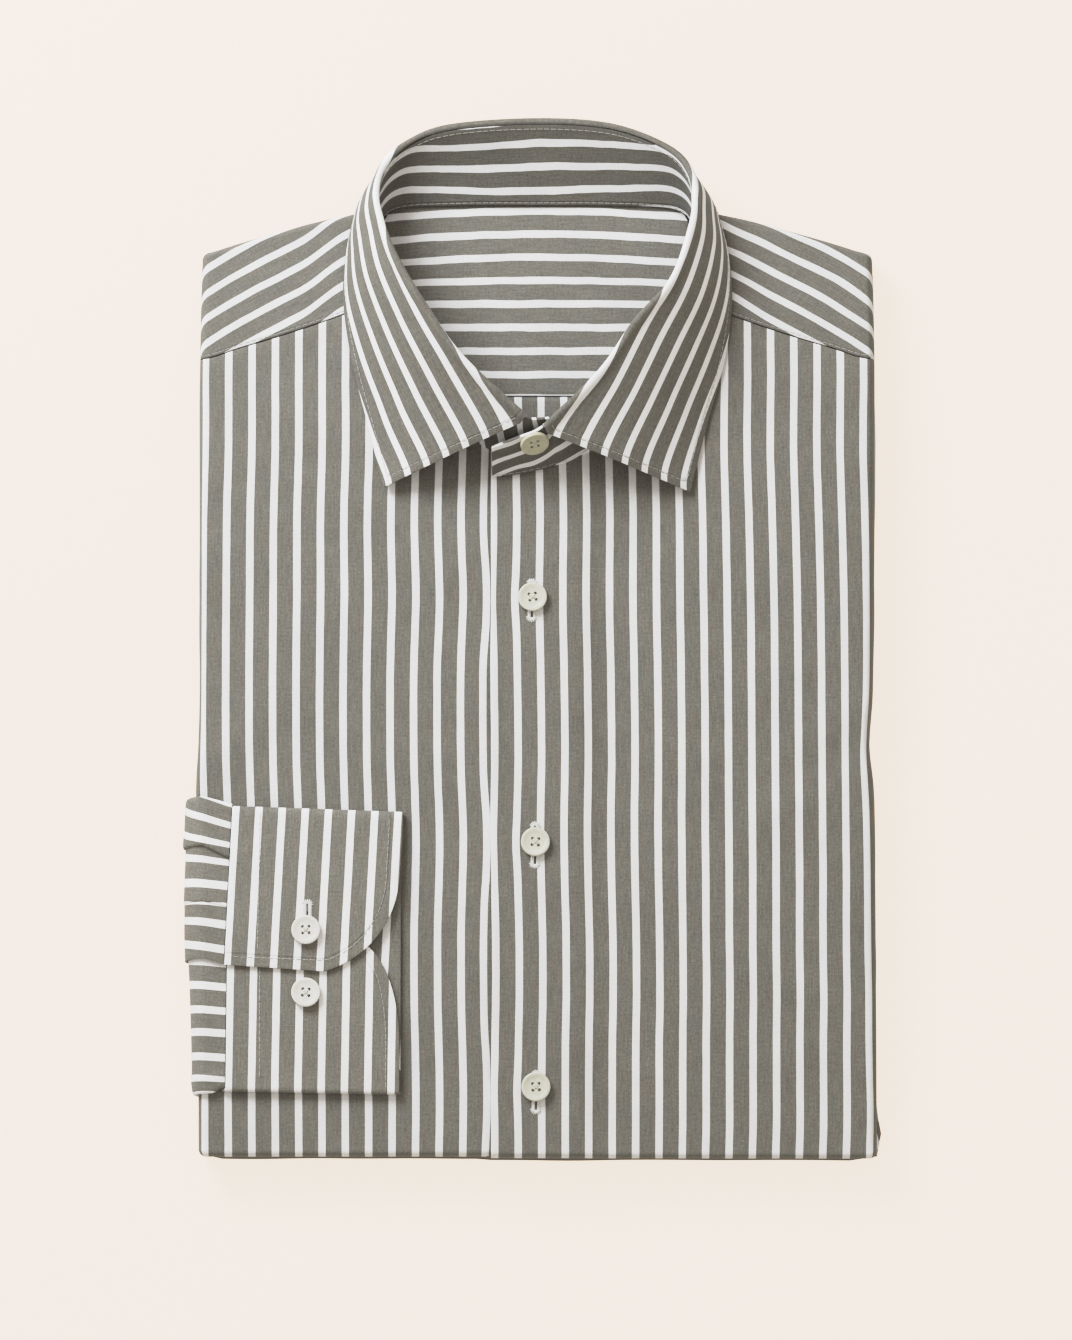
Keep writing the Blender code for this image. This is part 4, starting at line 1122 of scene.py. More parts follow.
collar = {
    # from the lapped end of the stand round the neck: the neck seam, the upper fold,
    # the leaf's fold where it leaves that, the leaf's outer edge, and whether a leaf
    # falls there; 0 as a height means that the point lies on the front
    "stations": table(
        "seam fold leafFold edge fall",
        ((-16.6, 259.8, 0), (-16.9, 268.6, 36.5), None, None, 0),
        ((-8, 260.7, 0), (-8.5, 271.4, 39.5), None, None, 0),
        ((0, 262.3, 0), (-0.5, 274, 41.5), None, None, 0),
        ((7, 264.2, 0), (4, 276.8, 42.6), None, None, 0),
        ((14, 266.7, 0), (7, 279.4, 43.4), (2.8, 275.8, 43.8), (58.6, 253.8, 0), 1),
        ((30.5, 277.5, 0), (24.3, 296.8, 47), None, (64.8, 279.5, 0), 1),
        ((44, 292, 0), (37.3, 315.6, 48), None, (71.3, 303.5, 0), 1),
        ((55, 311, 0), (51, 332, 45.5), None, (74.4, 326, 0), 1),
        ((61, 332, 19), (57.9, 351.8, 41), None, (73.6, 344.5, 0), 1),
        ((62.5, 346, 17), (59.8, 364.4, 36.5), None, (71, 357, 0), 1),
        ((61.5, 357.5, 14.8), (58, 376.6, 32), None, (67, 368.5, 12), 1),
        ((54, 365.6, 13.6), (49.2, 387, 28.5), None, (57, 376, 6), 1),
        ((31, 367.2, 13.2), (28.3, 395.4, 26.6), None, (31, 374.5, 3.4), 1),
        ((0, 367.3, 13.2), (0, 397.5, 26), None, (0, 373.5, 2.8), 1),
        ((-31, 367.2, 13.2), (-32.8, 395, 26.6), None, (-31, 374.5, 3.4), 1),
        ((-54, 365.6, 13.6), (-48.6, 388.4, 28.5), None, (-57, 376, 6), 1),
        ((-61.5, 357.5, 14.8), (-57.6, 378.4, 32), None, (-66.8, 369, 12), 1),
        ((-62.5, 346, 17), (-60.2, 367.4, 36.5), None, (-70.2, 358.5, 0), 1),
        ((-61, 332, 19), (-58.2, 356, 41), None, (-72.4, 345.5, 0), 1),
        ((-55, 313, 0), (-53, 341.5, 45.5), None, (-73.2, 328, 0), 1),
        ((-44, 296, 0), (-42.3, 322.6, 48), None, (-70, 305.5, 0), 1),
        ((-31, 281.5, 0), (-28, 302.2, 47), None, (-63.8, 280, 0), 1),
        ((-18, 270.5, 23.9), (-8.5, 281.8, 43), (-3.7, 279.9, 43), (-57.8, 255.4, 0), 1),
        ((-7, 268, 0), (-2, 279, 41), None, None, 0),
        ((7, 270, 0), (5, 279.4, 39.6), None, None, 0),
    ),
    "seamLift": 0.95,
    "leafLift": 1.05,
    "rightTipLift": 1.6,
    "leftTipLift": 2.8,
    "standBulge": 0.8,
    "standWave": (0.35, 17.0),    # height and size of its unevenness
    "leafWave": (0.25, 21.0),
    "leafBulge": 2.6,
    "leafFlatten": 0.3,
    "standDrop": 1.5,
    "innerFrom": 21.6,        # station where the stand's stripes turn at its inner end
    "steps": 8,
    "leafRows": 30,
    "standRows": 16,
    # the leaf's cross-section at its fold: along the stand, away from it
    "foldSection": (
        (0.75, 0.1), (0.15, 0.2), (-0.3, 0.7), (-0.2, 1.4), (0.8, 1.9), (3.0, 2.2),
    ),
    "foldSteps": 4,
    # white stripes on the leaf: the first one's distance from the outer edge (or
    # the count where the leaf folds), and the distance from one to the next
    "leafStripes": table(
        "station first atFold next",
        (4, 3.1, None, 8.65), (5, 3.3, None, 7.95), (6, 0.9, None, 8.05), (7, -2.9, None, 7.95),
        (8, -5.6, None, 7.2), (9, -5.4, None, 6.3), (10, None, 5.45, 6.4), (11, None, 5.5, 8.2),
        (12, None, 5.5, 8.7), (14, None, 5.5, 8.7), (15, None, 5.5, 8.2), (16, -9.5, None, 7),
        (17, -9, None, 7), (18, -5.8, None, 7.3), (19, -4.6, None, 7.75), (20, -2.5, None, 8.05),
        (21, 0, None, 8.45), (22, 2.5, None, 8.5),
    ),
    # how far the stripes half way down the leaf are drawn towards its fold
    "leafBow": table(
        "station bow",
        (17, 0), (18, 0.3), (19, 1.2), (20, 1.5), (21, 0.4), (22, 0),
    ),
    # white stripes on the stand, measured up from the neck seam
    "standStripes": table(
        "station first next",
        (0, -0.9, 7.5), (1, 3.6, 6.9), (2, 4.6, 8.5), (4, 9.6, 8.9), (6, 8.6, 9.2), (9, 7.6, 9.4),
        (10.9, 8.3, 8.4), (11.6, 7.2, 8.4), (12.3, 6.2, 9), (13, 5.6, 9.3), (13.65, 5.3, 8.75),
        (14.3, 6.4, 8.2), (15, 7.2, 8.5), (17, 6.2, 9.2), (24, 6.7, 9),
    ),
    "tipPush": 0.45,          # the last white stripe of each tip is drawn under its fold
    "rightTipPush": 0.28,
    "leafStitch": 2.6,
    "buttonUp": 0.78,         # share of the stand's height
    "buttonShift": -0.6,
    "buttonTurn": 12.0,
}
stations = collar["stations"]
carried = [k for k, row in enumerate(stations) if row["fall"]]
firstCarried, lastCarried = carried[0], carried[-1]


def seamPoint(row):
    x, y, z = row["seam"]
    return Vector((x, y, frontHeight(x, y) + collar["seamLift"] if z == 0 else z))


def edgePoint(row, lift):
    x, y, z = row["edge"]
    return Vector((x, y, frontHeight(x, y) + lift if z == 0 else z))


def standNormal(seams, folds, i):
    run = seams[min(i + 1, len(seams) - 1)] - seams[max(i - 1, 0)]
    return run.cross(folds[i] - seams[i]).normalized()


collarSteps = collar["steps"]
seams = spline([seamPoint(row) for row in stations], collarSteps)
folds = spline([Vector(row["fold"]) for row in stations], collarSteps)
falls = spline([Vector((row["fall"], 0.0, 0.0)) for row in stations], collarSteps)
falls = [min(1.0, max(0.0, f.x)) for f in falls]


def buildStand():
    rows, places = [], []
    wavy, size = collar["standWave"]
    length = 0.0
    for i, (seam, fold) in enumerate(zip(seams, folds)):
        station = i / collarSteps
        upright = (fold - seam).normalized()
        top = fold - upright * collar["standDrop"] * falls[i]
        normal = standNormal(seams, folds, i)
        if i:
            length += (seam - seams[i - 1]).length
        first = along(collar["standStripes"], station, "first")
        pitch = along(collar["standStripes"], station, "next")
        line, uvs = [], []
        for k in range(collar["standRows"] + 1):
            t = k / collar["standRows"]
            bulge = collar["standBulge"] * math.sin(math.pi * t) * falls[i]
            point = seam.lerp(top, t) + normal * bulge
            wave = noise.noise(point / size) * wavy * math.sin(math.pi * t) * falls[i]
            line.append(point + normal * wave)
            height = (top - seam).length * t
            if station >= collar["innerFrom"]:
                uvs.append(((length * 0.95 + height * 0.55) / stripeRepeat, height / stripeRepeat))
            else:
                uvs.append(((height - first) / pitch, length / stripeRepeat))
        rows.append(line)
        places.append(uvs)
    sewn = [([row[0] for row in rows], 0, len(rows))]
    piece = makeCloth(
        "collarStand", "collar_stand", rows, places, standShadedLook,
        middle=True, sewn=sewn,
    )
    return piece, rows


collarStand, standRows = buildStand()


def buildLeaf():
    lifts = {firstCarried: collar["rightTipLift"], lastCarried: collar["leftTipLift"]}
    leafFolds = spline([Vector(row["leafFold"] or row["fold"]) for row in stations], collarSteps)
    edges = [edgePoint(stations[k], lifts.get(k, collar["leafLift"])) for k in carried]
    edges = spline(edges, collarSteps)
    section = spline([Vector((a, b, 0.0)) for a, b in collar["foldSection"]], collar["foldSteps"])
    wavy, size = collar["leafWave"]
    rows = []
    for n, edge in enumerate(edges):
        i = firstCarried * collarSteps + n
        fold = leafFolds[i]
        down = (seams[i] - folds[i]).normalized()
        away = standNormal(seams, folds, i)
        line = [fold + down * p.x + away * p.y for p in section]
        start = line[-1]
        run = edge - start
        outside = Vector((run.x, run.y, 0.0)).normalized() + Vector((0.0, 0.0, 1.0))
        outside = (outside - run.normalized() * outside.dot(run.normalized())).normalized()
        for k in range(1, collar["leafRows"] + 1):
            t = k / collar["leafRows"]
            bulge = collar["leafBulge"] * math.sin(math.pi * t) * (1.0 - collar["leafFlatten"] * t)
            point = start.lerp(edge, t) + outside * bulge
            wave = noise.noise(point / size) * wavy * math.sin(math.pi * t)
            line.append(point + outside * wave)
        rows.append(line)
    fromEdge = []
    for line in rows:
        lengths = [0.0]
        for a, b in zip(line[::-1], line[-2::-1]):
            lengths.append(lengths[-1] + (b - a).length)
        fromEdge.append(lengths[::-1])
    counts = []
    for row in collar["leafStripes"]:
        atFold = row["atFold"]
        if atFold is None:
            full = fromEdge[round((row["station"] - firstCarried) * collarSteps)][0]
            atFold = (full - row["first"]) / row["next"]
        counts.append({"station": row["station"], "atFold": atFold, "next": row["next"]})
    places = []
    for n, lengths in enumerate(fromEdge):
        station = firstCarried + n / collarSteps
        atFold = along(counts, station, "atFold")
        pitch = along(counts, station, "next")
        lengthwise = station * 18.0 / stripeRepeat
        push = collar["tipPush"] * smoothStep(station - 21.0)
        rightPush = collar["rightTipPush"] * (1.0 - smoothStep((station - 4.0) / 1.8))
        bow = along(collar["leafBow"], station, "bow") * 4.0 / pitch
        line = []
        for d in lengths:
            down = d / lengths[0]
            drawn = push * smoothStep((d - 53.0) / 8.0) + bow * down * (1.0 - down)
            drawn += rightPush * smoothStep((d - 48.0) / 6.0)
            line.append((atFold - (lengths[0] - d) / pitch - drawn, lengthwise))
        places.append(line)
    sewn = [(path, 0, len(rows)) for path in ([line[-1] for line in rows], rows[0], rows[-1])]
    piece = makeCloth(
        "collarLeaf", "collar_leaf", rows, places, leafLook,
        middle=True, sewn=sewn,
    )
    return piece, rows


collarLeaf, leafRows = buildLeaf()

print("stage: cuff and sleeve")

cuff = {
    # the flattened tube's section: y, height above the front, and which lap
    "section": table(
        "y rise lap",
        (72.4, 4.45, 1), (78, 4.45, 1), (85, 4.4, 1), (92.5, 4.2, 1), (100, 4, 1), (108, 3.8, 1),
        (120, 3.5, 1), (129.6, 3.2, 1), (132, 2.5, 0.5), (132, 1.6, 0), (129.6, 1.1, 0),
        (100, 1.1, 0), (60, 1.1, 0), (29.5, 1.1, 0), (26.3, 1.1, 0), (25.5, 1.5, 0),
        (25.5, 2.45, -0.5), (26.3, 2.85, -1), (29.5, 2.85, -1), (46, 2.85, -1), (57, 2.85, -1),
        (66, 2.85, -1), (75, 2.85, -1), (83, 2.85, -1),
    ),
    "sectionSteps": 4,
    "columns": 30,
    # the upper lap and the lower one: where its seam starts, how much that leans over
    # what length, its end and round corner, one white stripe's place, level and tilt
    # and the distance to the next, and its button's place, height and turn
    "laps": table(
        "seam from lean length end corner first level tilt next button rise turn",
        (-115, 132, -2.8, 61, 72.4, 39, -105.25, 124.6, 0.051, 8.79, 85.4, 4.4, 2),
        (-116.7, 83, -0.5, 60, 83, 18, -107.15, 40.2, 0.015, 8.77, 61.9, 2.85, -3),
    ),
    "edgeX": -50.5,
    "edgeLean": -1.2,
    "backShift": 2.0,         # and its stripes do not meet those of the lap
    "backOut": 0.5,           # the layer beneath shows past the lapped ends
    # how far the right end lies below the left one
    "drops": table(
        "y drop",
        (22, -1.2), (72, -2.6), (134, -2.4),
    ),
    "cornerY": 39.0,
    "cornerReach": 1.5,
    "top": 132.0,
    "bottom": 25.0,
    "stitch": 5.0,            # from the side and from the end
    "endStitch": 3.0,
    "innerStitch": -104.4,    # a second line beside the sleeve
    "innerLean": -0.9,
    "buttonX": -86.9,
}

sleeve = {
    "section": table(
        "y rise",
        (72.6, 4.2), (84, 4.2), (93.5, 3.9), (95.5, 4.2), (104, 3.6), (112.6, 3.1), (114, 4.3),
        (122, 3.5), (130.8, 3), (133.2, 2.4), (133.2, 1.5), (130.8, 1), (100, 1), (60, 1),
        (30, 1), (26, 1), (25.1, 1.4), (25.1, 2.2), (26, 2.6), (28, 2.9), (31, 3.2), (35, 2.6),
        (60, 2.6), (82, 2.6),
    ),
    "sectionSteps": 5,
    "flat": 1.0,
    # how far past the body's fold it comes
    "out": table(
        "y out",
        (22, -0.5), (60, 0.3), (78, 0.9), (134, 1),
    ),
    "pinch": 1.5,             # its lower fold is drawn up beside the cuff
    "pinchFrom": 33.0,
    # how much each height of the sleeve rises towards the fold
    "tilt": table(
        "y rise",
        (20, -0.6), (60, 0.2), (72, 2.2), (90, 2), (100, 2.6), (112, 4.8), (122, 4), (134, 2.8),
    ),
    "under": 5.7,
    "press": 0.8,
    # white stripes across the sleeve: place of each and how much it leans
    "overStripes": table(
        "y count lean",
        (70.5, 0.05, 0.15), (79.7, 1, 0.16), (88.9, 2, 0.14), (94.8, 2.66, 0.10), (96, 3, 0.06),
        (97.2, 3.34, 0.10), (103.5, 4, 0.11), (112.8, 5, 0.14), (120.1, 6, 0.23),
        (128.9, 7, 0.32), (137.7, 8, 0.32),
    ),
    "underStripes": table(
        "y count lean",
        (24.4, -1, 0), (25.25, -0.80, 0), (29.7, 0, 0.06), (38.1, 1, 0.07), (47.4, 2, 0.07),
        (55.8, 3, 0.09), (65.1, 4, 0.11), (74, 5, 0.11), (83, 6, 0.11),
    ),
    "leanFrom": -127.7,
}


def cuffDrop(y):
    return along(cuff["drops"], y, "drop")


def cuffLap(lap):
    return cuff["laps"][0 if lap > 0 else 1]


def cuffSeamX(y, lap):
    over, under = [
        row["seam"] + row["lean"] * (row["from"] - y) / row["length"] for row in cuff["laps"]
    ]
    return under + (over - under) * smoothStep((lap + 1.0) / 2.0)


# the layer beneath has one straight edge; the lapped ends have round corners
def cuffEdgeX(y, lap):
    edge = cuff["edgeX"] + cuff["edgeLean"] * smoothStep((cuff["top"] - y) / 30.0)
    if abs(lap) < 0.75:
        return edge + cuff["backOut"] * (1.0 - abs(lap))
    row, side = cuffLap(lap), 1.0 if lap > 0 else -1.0
    start = row["end"] + side * (cuff["cornerY"] - cuff["cornerReach"])
    past = side * (start - y) / cuff["cornerY"]
    if past <= 0.0:
        return edge
    return edge - row["corner"] * (1.0 - math.sqrt(max(0.0, 1.0 - past * past)))


# the stripes of the upper lap run on round the top fold, and those of the lower
# lap round the bottom one
def cuffStripe(x, y, upper):
    row = cuffLap(1 if upper else -1)
    return (x - row["first"] - row["tilt"] * (y - row["level"])) / row["next"]


def buildCuff():
    steps = cuff["sectionSteps"]
    section = spline([Vector([*bend.values()]) for bend in cuff["section"]], steps)
    turnOver = 13.0 * steps

    def clothAt(numbered, share):
        number, bend = numbered
        seam, edge = cuffSeamX(bend.x, bend.z), cuffEdgeX(bend.x, bend.z)
        x = seam + (edge - seam) * share
        y = bend.x + cuffDrop(bend.x) * share
        hidden = number < turnOver and abs(bend.z) < 0.5
        shift = cuff["backShift"] * smoothStep((120.0 - y) / 15.0) * hidden
        stripe = cuffStripe(x + shift, y, number < turnOver)
        return Vector((x, y, bodyHeight(x, y) + bend.y)), (stripe, y / stripeRepeat)

    shares = [k / cuff["columns"] for k in range(cuff["columns"] + 1)]
    rows, places = clothGrid(list(enumerate(section)), shares, clothAt)
    over, under, last = 8 * steps, 16 * steps, len(rows)
    sewn = [
        (rows[0], 0, over), ([row[-1] for row in rows[: over + 1]], 0, over),
        (rows[-1], under, last), ([row[-1] for row in rows[under:]], under, last),
    ]
    return makeCloth(
        "cuffBarrel", "cuff", rows, places, cuffLook, middle=True, flip=True, sewn=sewn
    )


cuffBarrel = buildCuff()


def buildSleeve():
    steps, roll = sleeve["sectionSteps"], body["sideRoll"]
    section = spline([Vector([*bend.values(), 0.0]) for bend in sleeve["section"]], steps)
    laps = 10 * steps
    rows, places = [], []
    for n, (height, rise, _) in enumerate(section):
        upper, lower = n <= laps, n > laps + 8
        stripeRows = sleeve["overStripes" if upper else "underStripes"]
        rollX = sideFold(height, -1) + roll
        start = cuffSeamX(height, 1.0 if upper else -1.0) - cloth["seamGap"]
        tilt = along(sleeve["tilt"], height, "rise") if upper or lower else 0.0
        pinch = sleeve["pinch"] * smoothStep((sleeve["pinchFrom"] - height) / 7.0) * lower
        pressed = sleeve["flat"] + (rise - sleeve["flat"]) * sleeve["press"]
        points = []
        for share in [k / 6 for k in range(6)]:
            x = start + (rollX - start) * share
            y = height + tilt * share + pinch * (1.0 - smoothStep((share - 0.15) / 0.5))
            points.append(Vector((x, y, bodyHeight(x, y) + rise)))
        y = height + tilt
        top = bodyHeight(rollX, y)
        depth = (top - sleeve["under"]) / 2.0
        out = along(sleeve["out"], height, "out")
        for degrees in range(0, 181, 10):
            turn = math.radians(degrees)
            bent = smoothStep(degrees / 90.0)
            x = rollX - (roll + pressed + out * bent) * math.sin(turn)
            z = top - depth + (depth + rise + (pressed - rise) * bent) * math.cos(turn)
            points.append(Vector((x, y, z)))
        for reach in (2.0, 3.0, 3.0):
            points.append(points[-1] + Vector((reach, 0.0, 0.0)))
        uvs = []
        flatX = start
        for k, point in enumerate(points):
            flatX -= (point - points[max(0, k - 1)]).length
            lean = along(stripeRows, point.y, "lean")
            at = point.y + lean * (flatX - sleeve["leanFrom"])
            uvs.append((along(stripeRows, at, "count"), flatX / stripeRepeat))
        rows.append(points)
        places.append(uvs)
    return makeCloth(
        "sleeveEnd", "sleeve", rows, places, sleeveLook, wall=cloth["sleeveWall"], middle=True
    )


sleeveEnd = buildSleeve()

print("stage: buttons")

button = {
    "radius": 5.5,
    "height": 2.2,
    "sides": 56,
    "rounding": 0.38,
    "rim": 0.95,
    "slope": 0.8,
    "dish": 0.34,
    "floorInset": 0.9,
    "neckFloorHeight": 0.12,
    "holeRadius": 0.58,
    "holeOffset": 1.2,
    "threadRadius": 0.11,
    "threadArch": (
        (-1.0, -1.1), (-0.86, -0.35), (-0.7, 0.06), (-0.35, 0.16), (0.0, 0.2), (0.35, 0.16),
        (0.7, 0.06), (0.86, -0.35), (1.0, -1.1),
    ),
    "clearance": 0.35,
}


def selectFaces(piece, wanted):
    bpy.ops.object.mode_set(mode="EDIT")
    bpy.ops.mesh.select_mode(type="FACE")
    edit = bmesh.from_edit_mesh(piece.data)
    for face in edit.faces:
        face.select_set(wanted(face))
    bmesh.update_edit_mesh(piece.data)


def makeButton():
    deselectAll()
    height = button["height"] * mm
    bpy.ops.mesh.primitive_cylinder_add(
        vertices=button["sides"], radius=button["radius"] * mm, depth=height,
        location=(0.0, 0.0, height / 2.0),
    )
    blank = bpy.context.object
    bpy.ops.object.transform_apply(location=True, rotation=False, scale=False)
    selectFaces(blank, lambda face: face.normal.z > 0.9)
    bpy.ops.mesh.inset(thickness=button["rim"] * mm)
    for width, sink in (("slope", "dish"), ("floorInset", "neckFloorHeight")):
        bpy.ops.mesh.inset(thickness=button[width] * mm)
        bpy.ops.transform.translate(value=(0.0, 0.0, -button[sink] * mm))
    bpy.ops.mesh.select_all(action="DESELECT")
    bpy.ops.object.mode_set(mode="OBJECT")
    selectFaces(blank, lambda face: face.normal.z < -0.9)
    bpy.ops.mesh.inset(thickness=button["floorInset"] * mm)
    bpy.ops.object.mode_set(mode="OBJECT")
    for vert in blank.data.vertices:
        if vert.co.z < 0.1 * mm and vert.co.xy.length > (button["radius"] - 0.2) * mm:
            vert.co.z = 0.55 * mm
    roundEdges(blank, button["rounding"], 3, 25.0)
    offset = button["holeOffset"] * mm
    for x, y in ((-1, -1), (-1, 1), (1, -1), (1, 1)):
        deselectAll()
        bpy.ops.mesh.primitive_cylinder_add(
            vertices=16, radius=button["holeRadius"] * mm, depth=3.0 * height,
            location=(x * offset, y * offset, 0.0),
        )
        drill = bpy.context.object
        cut = blank.modifiers.new("thread hole", "BOOLEAN")
        cut.operation = "DIFFERENCE"
        cut.object = drill
        applyAll(blank)
        bpy.data.objects.remove(drill)
    bpy.ops.object.shade_smooth_by_angle(angle=math.radians(35.0))
    return blank


# a closed thread lying along X through (x, z) places, for copying
def makeStrand(name, radius, places, sides=6):
    deselectAll()
    x, z = places[0]
    bpy.ops.mesh.primitive_circle_add(
        vertices=sides, radius=radius * mm, fill_type="NGON",
        location=(x * mm, 0.0, z * mm), rotation=(0.0, math.radians(90.0), 0.0),
    )
    strand = bpy.context.object
    strand.name = name
    bpy.ops.object.transform_apply(location=True, rotation=True, scale=False)
    bpy.ops.object.mode_set(mode="EDIT")
    bpy.ops.mesh.select_all(action="SELECT")
    for (x0, z0), (x1, z1) in zip(places, places[1:]):
        step = ((x1 - x0) * mm, 0.0, (z1 - z0) * mm)
        bpy.ops.mesh.extrude_region_move(TRANSFORM_OT_translate={"value": step})
    bpy.ops.mesh.select_all(action="SELECT")
    bpy.ops.mesh.normals_make_consistent(inside=False)
    bpy.ops.object.mode_set(mode="OBJECT")
    bpy.ops.object.shade_smooth()
    return strand


# the blank copied to each place and joined as one piece
def copies(name, blank, places, look):
    solid = bmesh.new()
    for place in places:
        start = len(solid.verts)
        solid.from_mesh(blank.data)
        solid.verts.ensure_lookup_table()
        bmesh.ops.transform(solid, matrix=place, verts=solid.verts[start:])
    mesh = finishMesh(name, solid)
    mesh.shade_smooth()
    return addPiece(name, mesh, look)


def makeButtonThread():
    reach = button["holeOffset"] * math.sqrt(2.0)
    level = button["height"] - button["dish"] - button["neckFloorHeight"]
    places = [(x * reach, level + z) for x, z in button["threadArch"]]
    return makeStrand("buttonThread", button["threadRadius"], places)


def frontNormal(heightAt, x, y):
    step = 3.0
    slopeX = (heightAt(x + step, y) - heightAt(x - step, y)) / (2.0 * step)
    slopeY = (heightAt(x, y + step) - heightAt(x, y - step)) / (2.0 * step)
    return Vector((-slopeX, -slopeY, 1.0)).normalized()


buttonBlank = makeButton()
strandBlank = makeButtonThread()


def setButton(name, base, normal, turn, node, look=buttonLook):
    place = Matrix.Translation(toFrame(base + normal * button["clearance"]))
    spin = upwards.rotation_difference(normal).to_matrix().to_4x4()
    move = place @ spin @ Matrix.Rotation(math.radians(turn), 4, "Z")
    mesh = buttonBlank.data.copy()
    mesh.transform(move)
    dress(addPiece(name, mesh, look), node)
    places = []
    for turned, raised in ((45.0, 0.0), (-45.0, 0.16)):
        for shift in (-0.12, 0.12):
            spot = Matrix.Translation(Vector((0.0, shift, raised)) * mm)
            places.append(move @ Matrix.Rotation(math.radians(turned), 4, "Z") @ spot)
    copies(name + "Thread", strandBlank, places, buttonThreadLook)


for number, row in enumerate(fastening["buttons"], 1):
    x, y = row["x"] + row["hangX"], row["y"] + row["hangY"]
    base, normal = Vector((x, y, frontHeight(x, y))), frontNormal(frontHeight, x, y)
    setButton(f"frontButton{number}", base, normal, row["turn"], f"front_button_{number}")
for row, name, node in zip(
    cuff["laps"], ("cuffButtonOver", "cuffButtonUnder"), ("cuff_button_over", "cuff_button_under")
):
    x, y = cuff["buttonX"], row["button"]
    base = Vector((x, y, bodyHeight(x, y) + row["rise"] + cloth["wall"] / 2.0))
    setButton(name, base, frontNormal(bodyHeight, x, y), row["turn"], node, paleButtonLook)
standSeam = seamPoint(stations[2])
standFold = Vector(stations[2]["fold"])
standRun = Vector(stations[3]["fold"]) - Vector(stations[1]["fold"])
standOut = standRun.cross(standFold - standSeam).normalized()
base = standSeam.lerp(standFold, collar["buttonUp"]) + Vector((collar["buttonShift"], 0.0, 0.0))
base += standOut * cloth["wall"] / 2.0
setButton("collarButton", base, standOut, collar["buttonTurn"], "collar_button", shadedButtonLook)
bpy.data.objects.remove(buttonBlank)
bpy.data.objects.remove(strandBlank)

print("stage: sewing")

sewing = {
    "stitch": 2.3,            # length of one stitch
    "gap": 0.3,
    "radius": 0.12,
    # a stitch rises over the cloth from end to end
    "arch": (
        (-1.0, -0.16), (-0.8, 0.0), (-0.4, 0.07), (0.0, 0.09), (0.4, 0.07), (0.8, 0.0),
        (1.0, -0.16),
    ),
    "holeLength": 16.6,       # buttonhole
    "cuffHoleLength": 16.0,
    "holeWidth": 3.4,
    "slit": 0.3,
    "slitEnd": 1.9,
    "slitClosed": 1.6,        # the top of the slit is sewn shut
    "cuffSlitClosed": 2.4,
    "ribPitch": 0.42,
    "ribRadius": 0.25,
    "fray": 0.12,
    "slitDepth": 0.11,
    "ribArch": ((0.0, -0.25), (0.12, 0.08), (0.35, 0.24), (0.65, 0.22), (0.9, 0.06), (1.0, -0.25)),
}


# points at even steps along a line, with the surface normal carried along
def evenly(points, normals, step):
    lengths = [0.0]
    for a, b in zip(points, points[1:]):
        lengths.append(lengths[-1] + (b - a).length)
    result = []
    at, k = 0.0, 0
    while at <= lengths[-1]:
        while k < len(points) - 2 and lengths[k + 1] < at:
            k += 1
        span = max(lengths[k + 1] - lengths[k], 1e-9)
        t = (at - lengths[k]) / span
        normal = normals[k].lerp(normals[k + 1], t).normalized()
        result.append((points[k].lerp(points[k + 1], t), normal))
        at += step
    return result


stitchBlank = makeStrand(
    "stitch", sewing["radius"], [(x * sewing["stitch"] / 2.0, z) for x, z in sewing["arch"]]
)


# a matrix at the point, with X along one way and Z along the surface's normal
def placed(point, ahead, normal):
    ahead = (ahead - normal * ahead.dot(normal)).normalized()
    turn = Matrix((ahead, normal.cross(ahead), normal)).transposed().to_4x4()
    return Matrix.Translation(toFrame(point)) @ turn


def sewAlong(name, lines):
    places = []
    for points, normals in lines:
        path = evenly(points, normals, sewing["stitch"] + sewing["gap"])
        for (p, n), (q, _) in zip(path, path[1:]):
            places.append(placed((p + q) / 2.0, q - p, n))
    copies(name, stitchBlank, places, threadLook)


# the surface of a grid of rows, moved out by half of its wall
def surfaceLine(grid, path, out, flip=1.0):
    points, normals = [], []
    last = len(grid) - 1
    width = len(grid[0]) - 1
    for j, i in path:
        j = min(max(j, 0.0), last - 1e-6)
        i = min(max(i, 0.0), width - 1e-6)
        a, b = int(j), int(i)
        s, t = j - a, i - b
        p00, p01 = grid[a][b], grid[a][b + 1]
        p10, p11 = grid[a + 1][b], grid[a + 1][b + 1]
        normal = (p01 - p00 + p11 - p10).cross(p10 - p00 + p11 - p01).normalized() * flip
        points.append(p00.lerp(p01, t).lerp(p10.lerp(p11, t), s) + normal * out)
        normals.append(normal)
    return points, normals


def leafStitching():
    grid = leafRows
    width, last = len(grid[0]) - 1, len(grid) - 1
    inset = collar["leafStitch"]
    start = width - collar["leafRows"] - 4

    # places beside one of the leaf's two ends, from its fold down to its corner
    def besideEnd(end, inward):
        found = []
        for i in [start + k * 0.5 for k in range(int((width - start) * 2))]:
            step = (grid[end + inward][int(i)] - grid[end][int(i)]).length
            if (grid[end][int(i)] - grid[end][width]).length > inset * 1.05:
                found.append((end + inward * inset / step, i))
        return found

    path = besideEnd(0, 1)
    for j in [k / 2.0 for k in range(last * 2 + 1)]:
        near = grid[int(min(j, last - 1))]
        if min((near[width] - grid[end][width]).length for end in (0, last)) >= inset:
            path.append((j, width - inset / (near[width] - near[width - 1]).length))
    path += reversed(besideEnd(last, -1))
    return surfaceLine(grid, path, cloth["wall"] / 2.0, leafSide)


def outwardSign(grid, j, i, wanted):
    normal = (grid[j][i + 1] - grid[j][i]).cross(grid[j + 1][i] - grid[j][i])
    return 1.0 if normal.dot(wanted) > 0 else -1.0


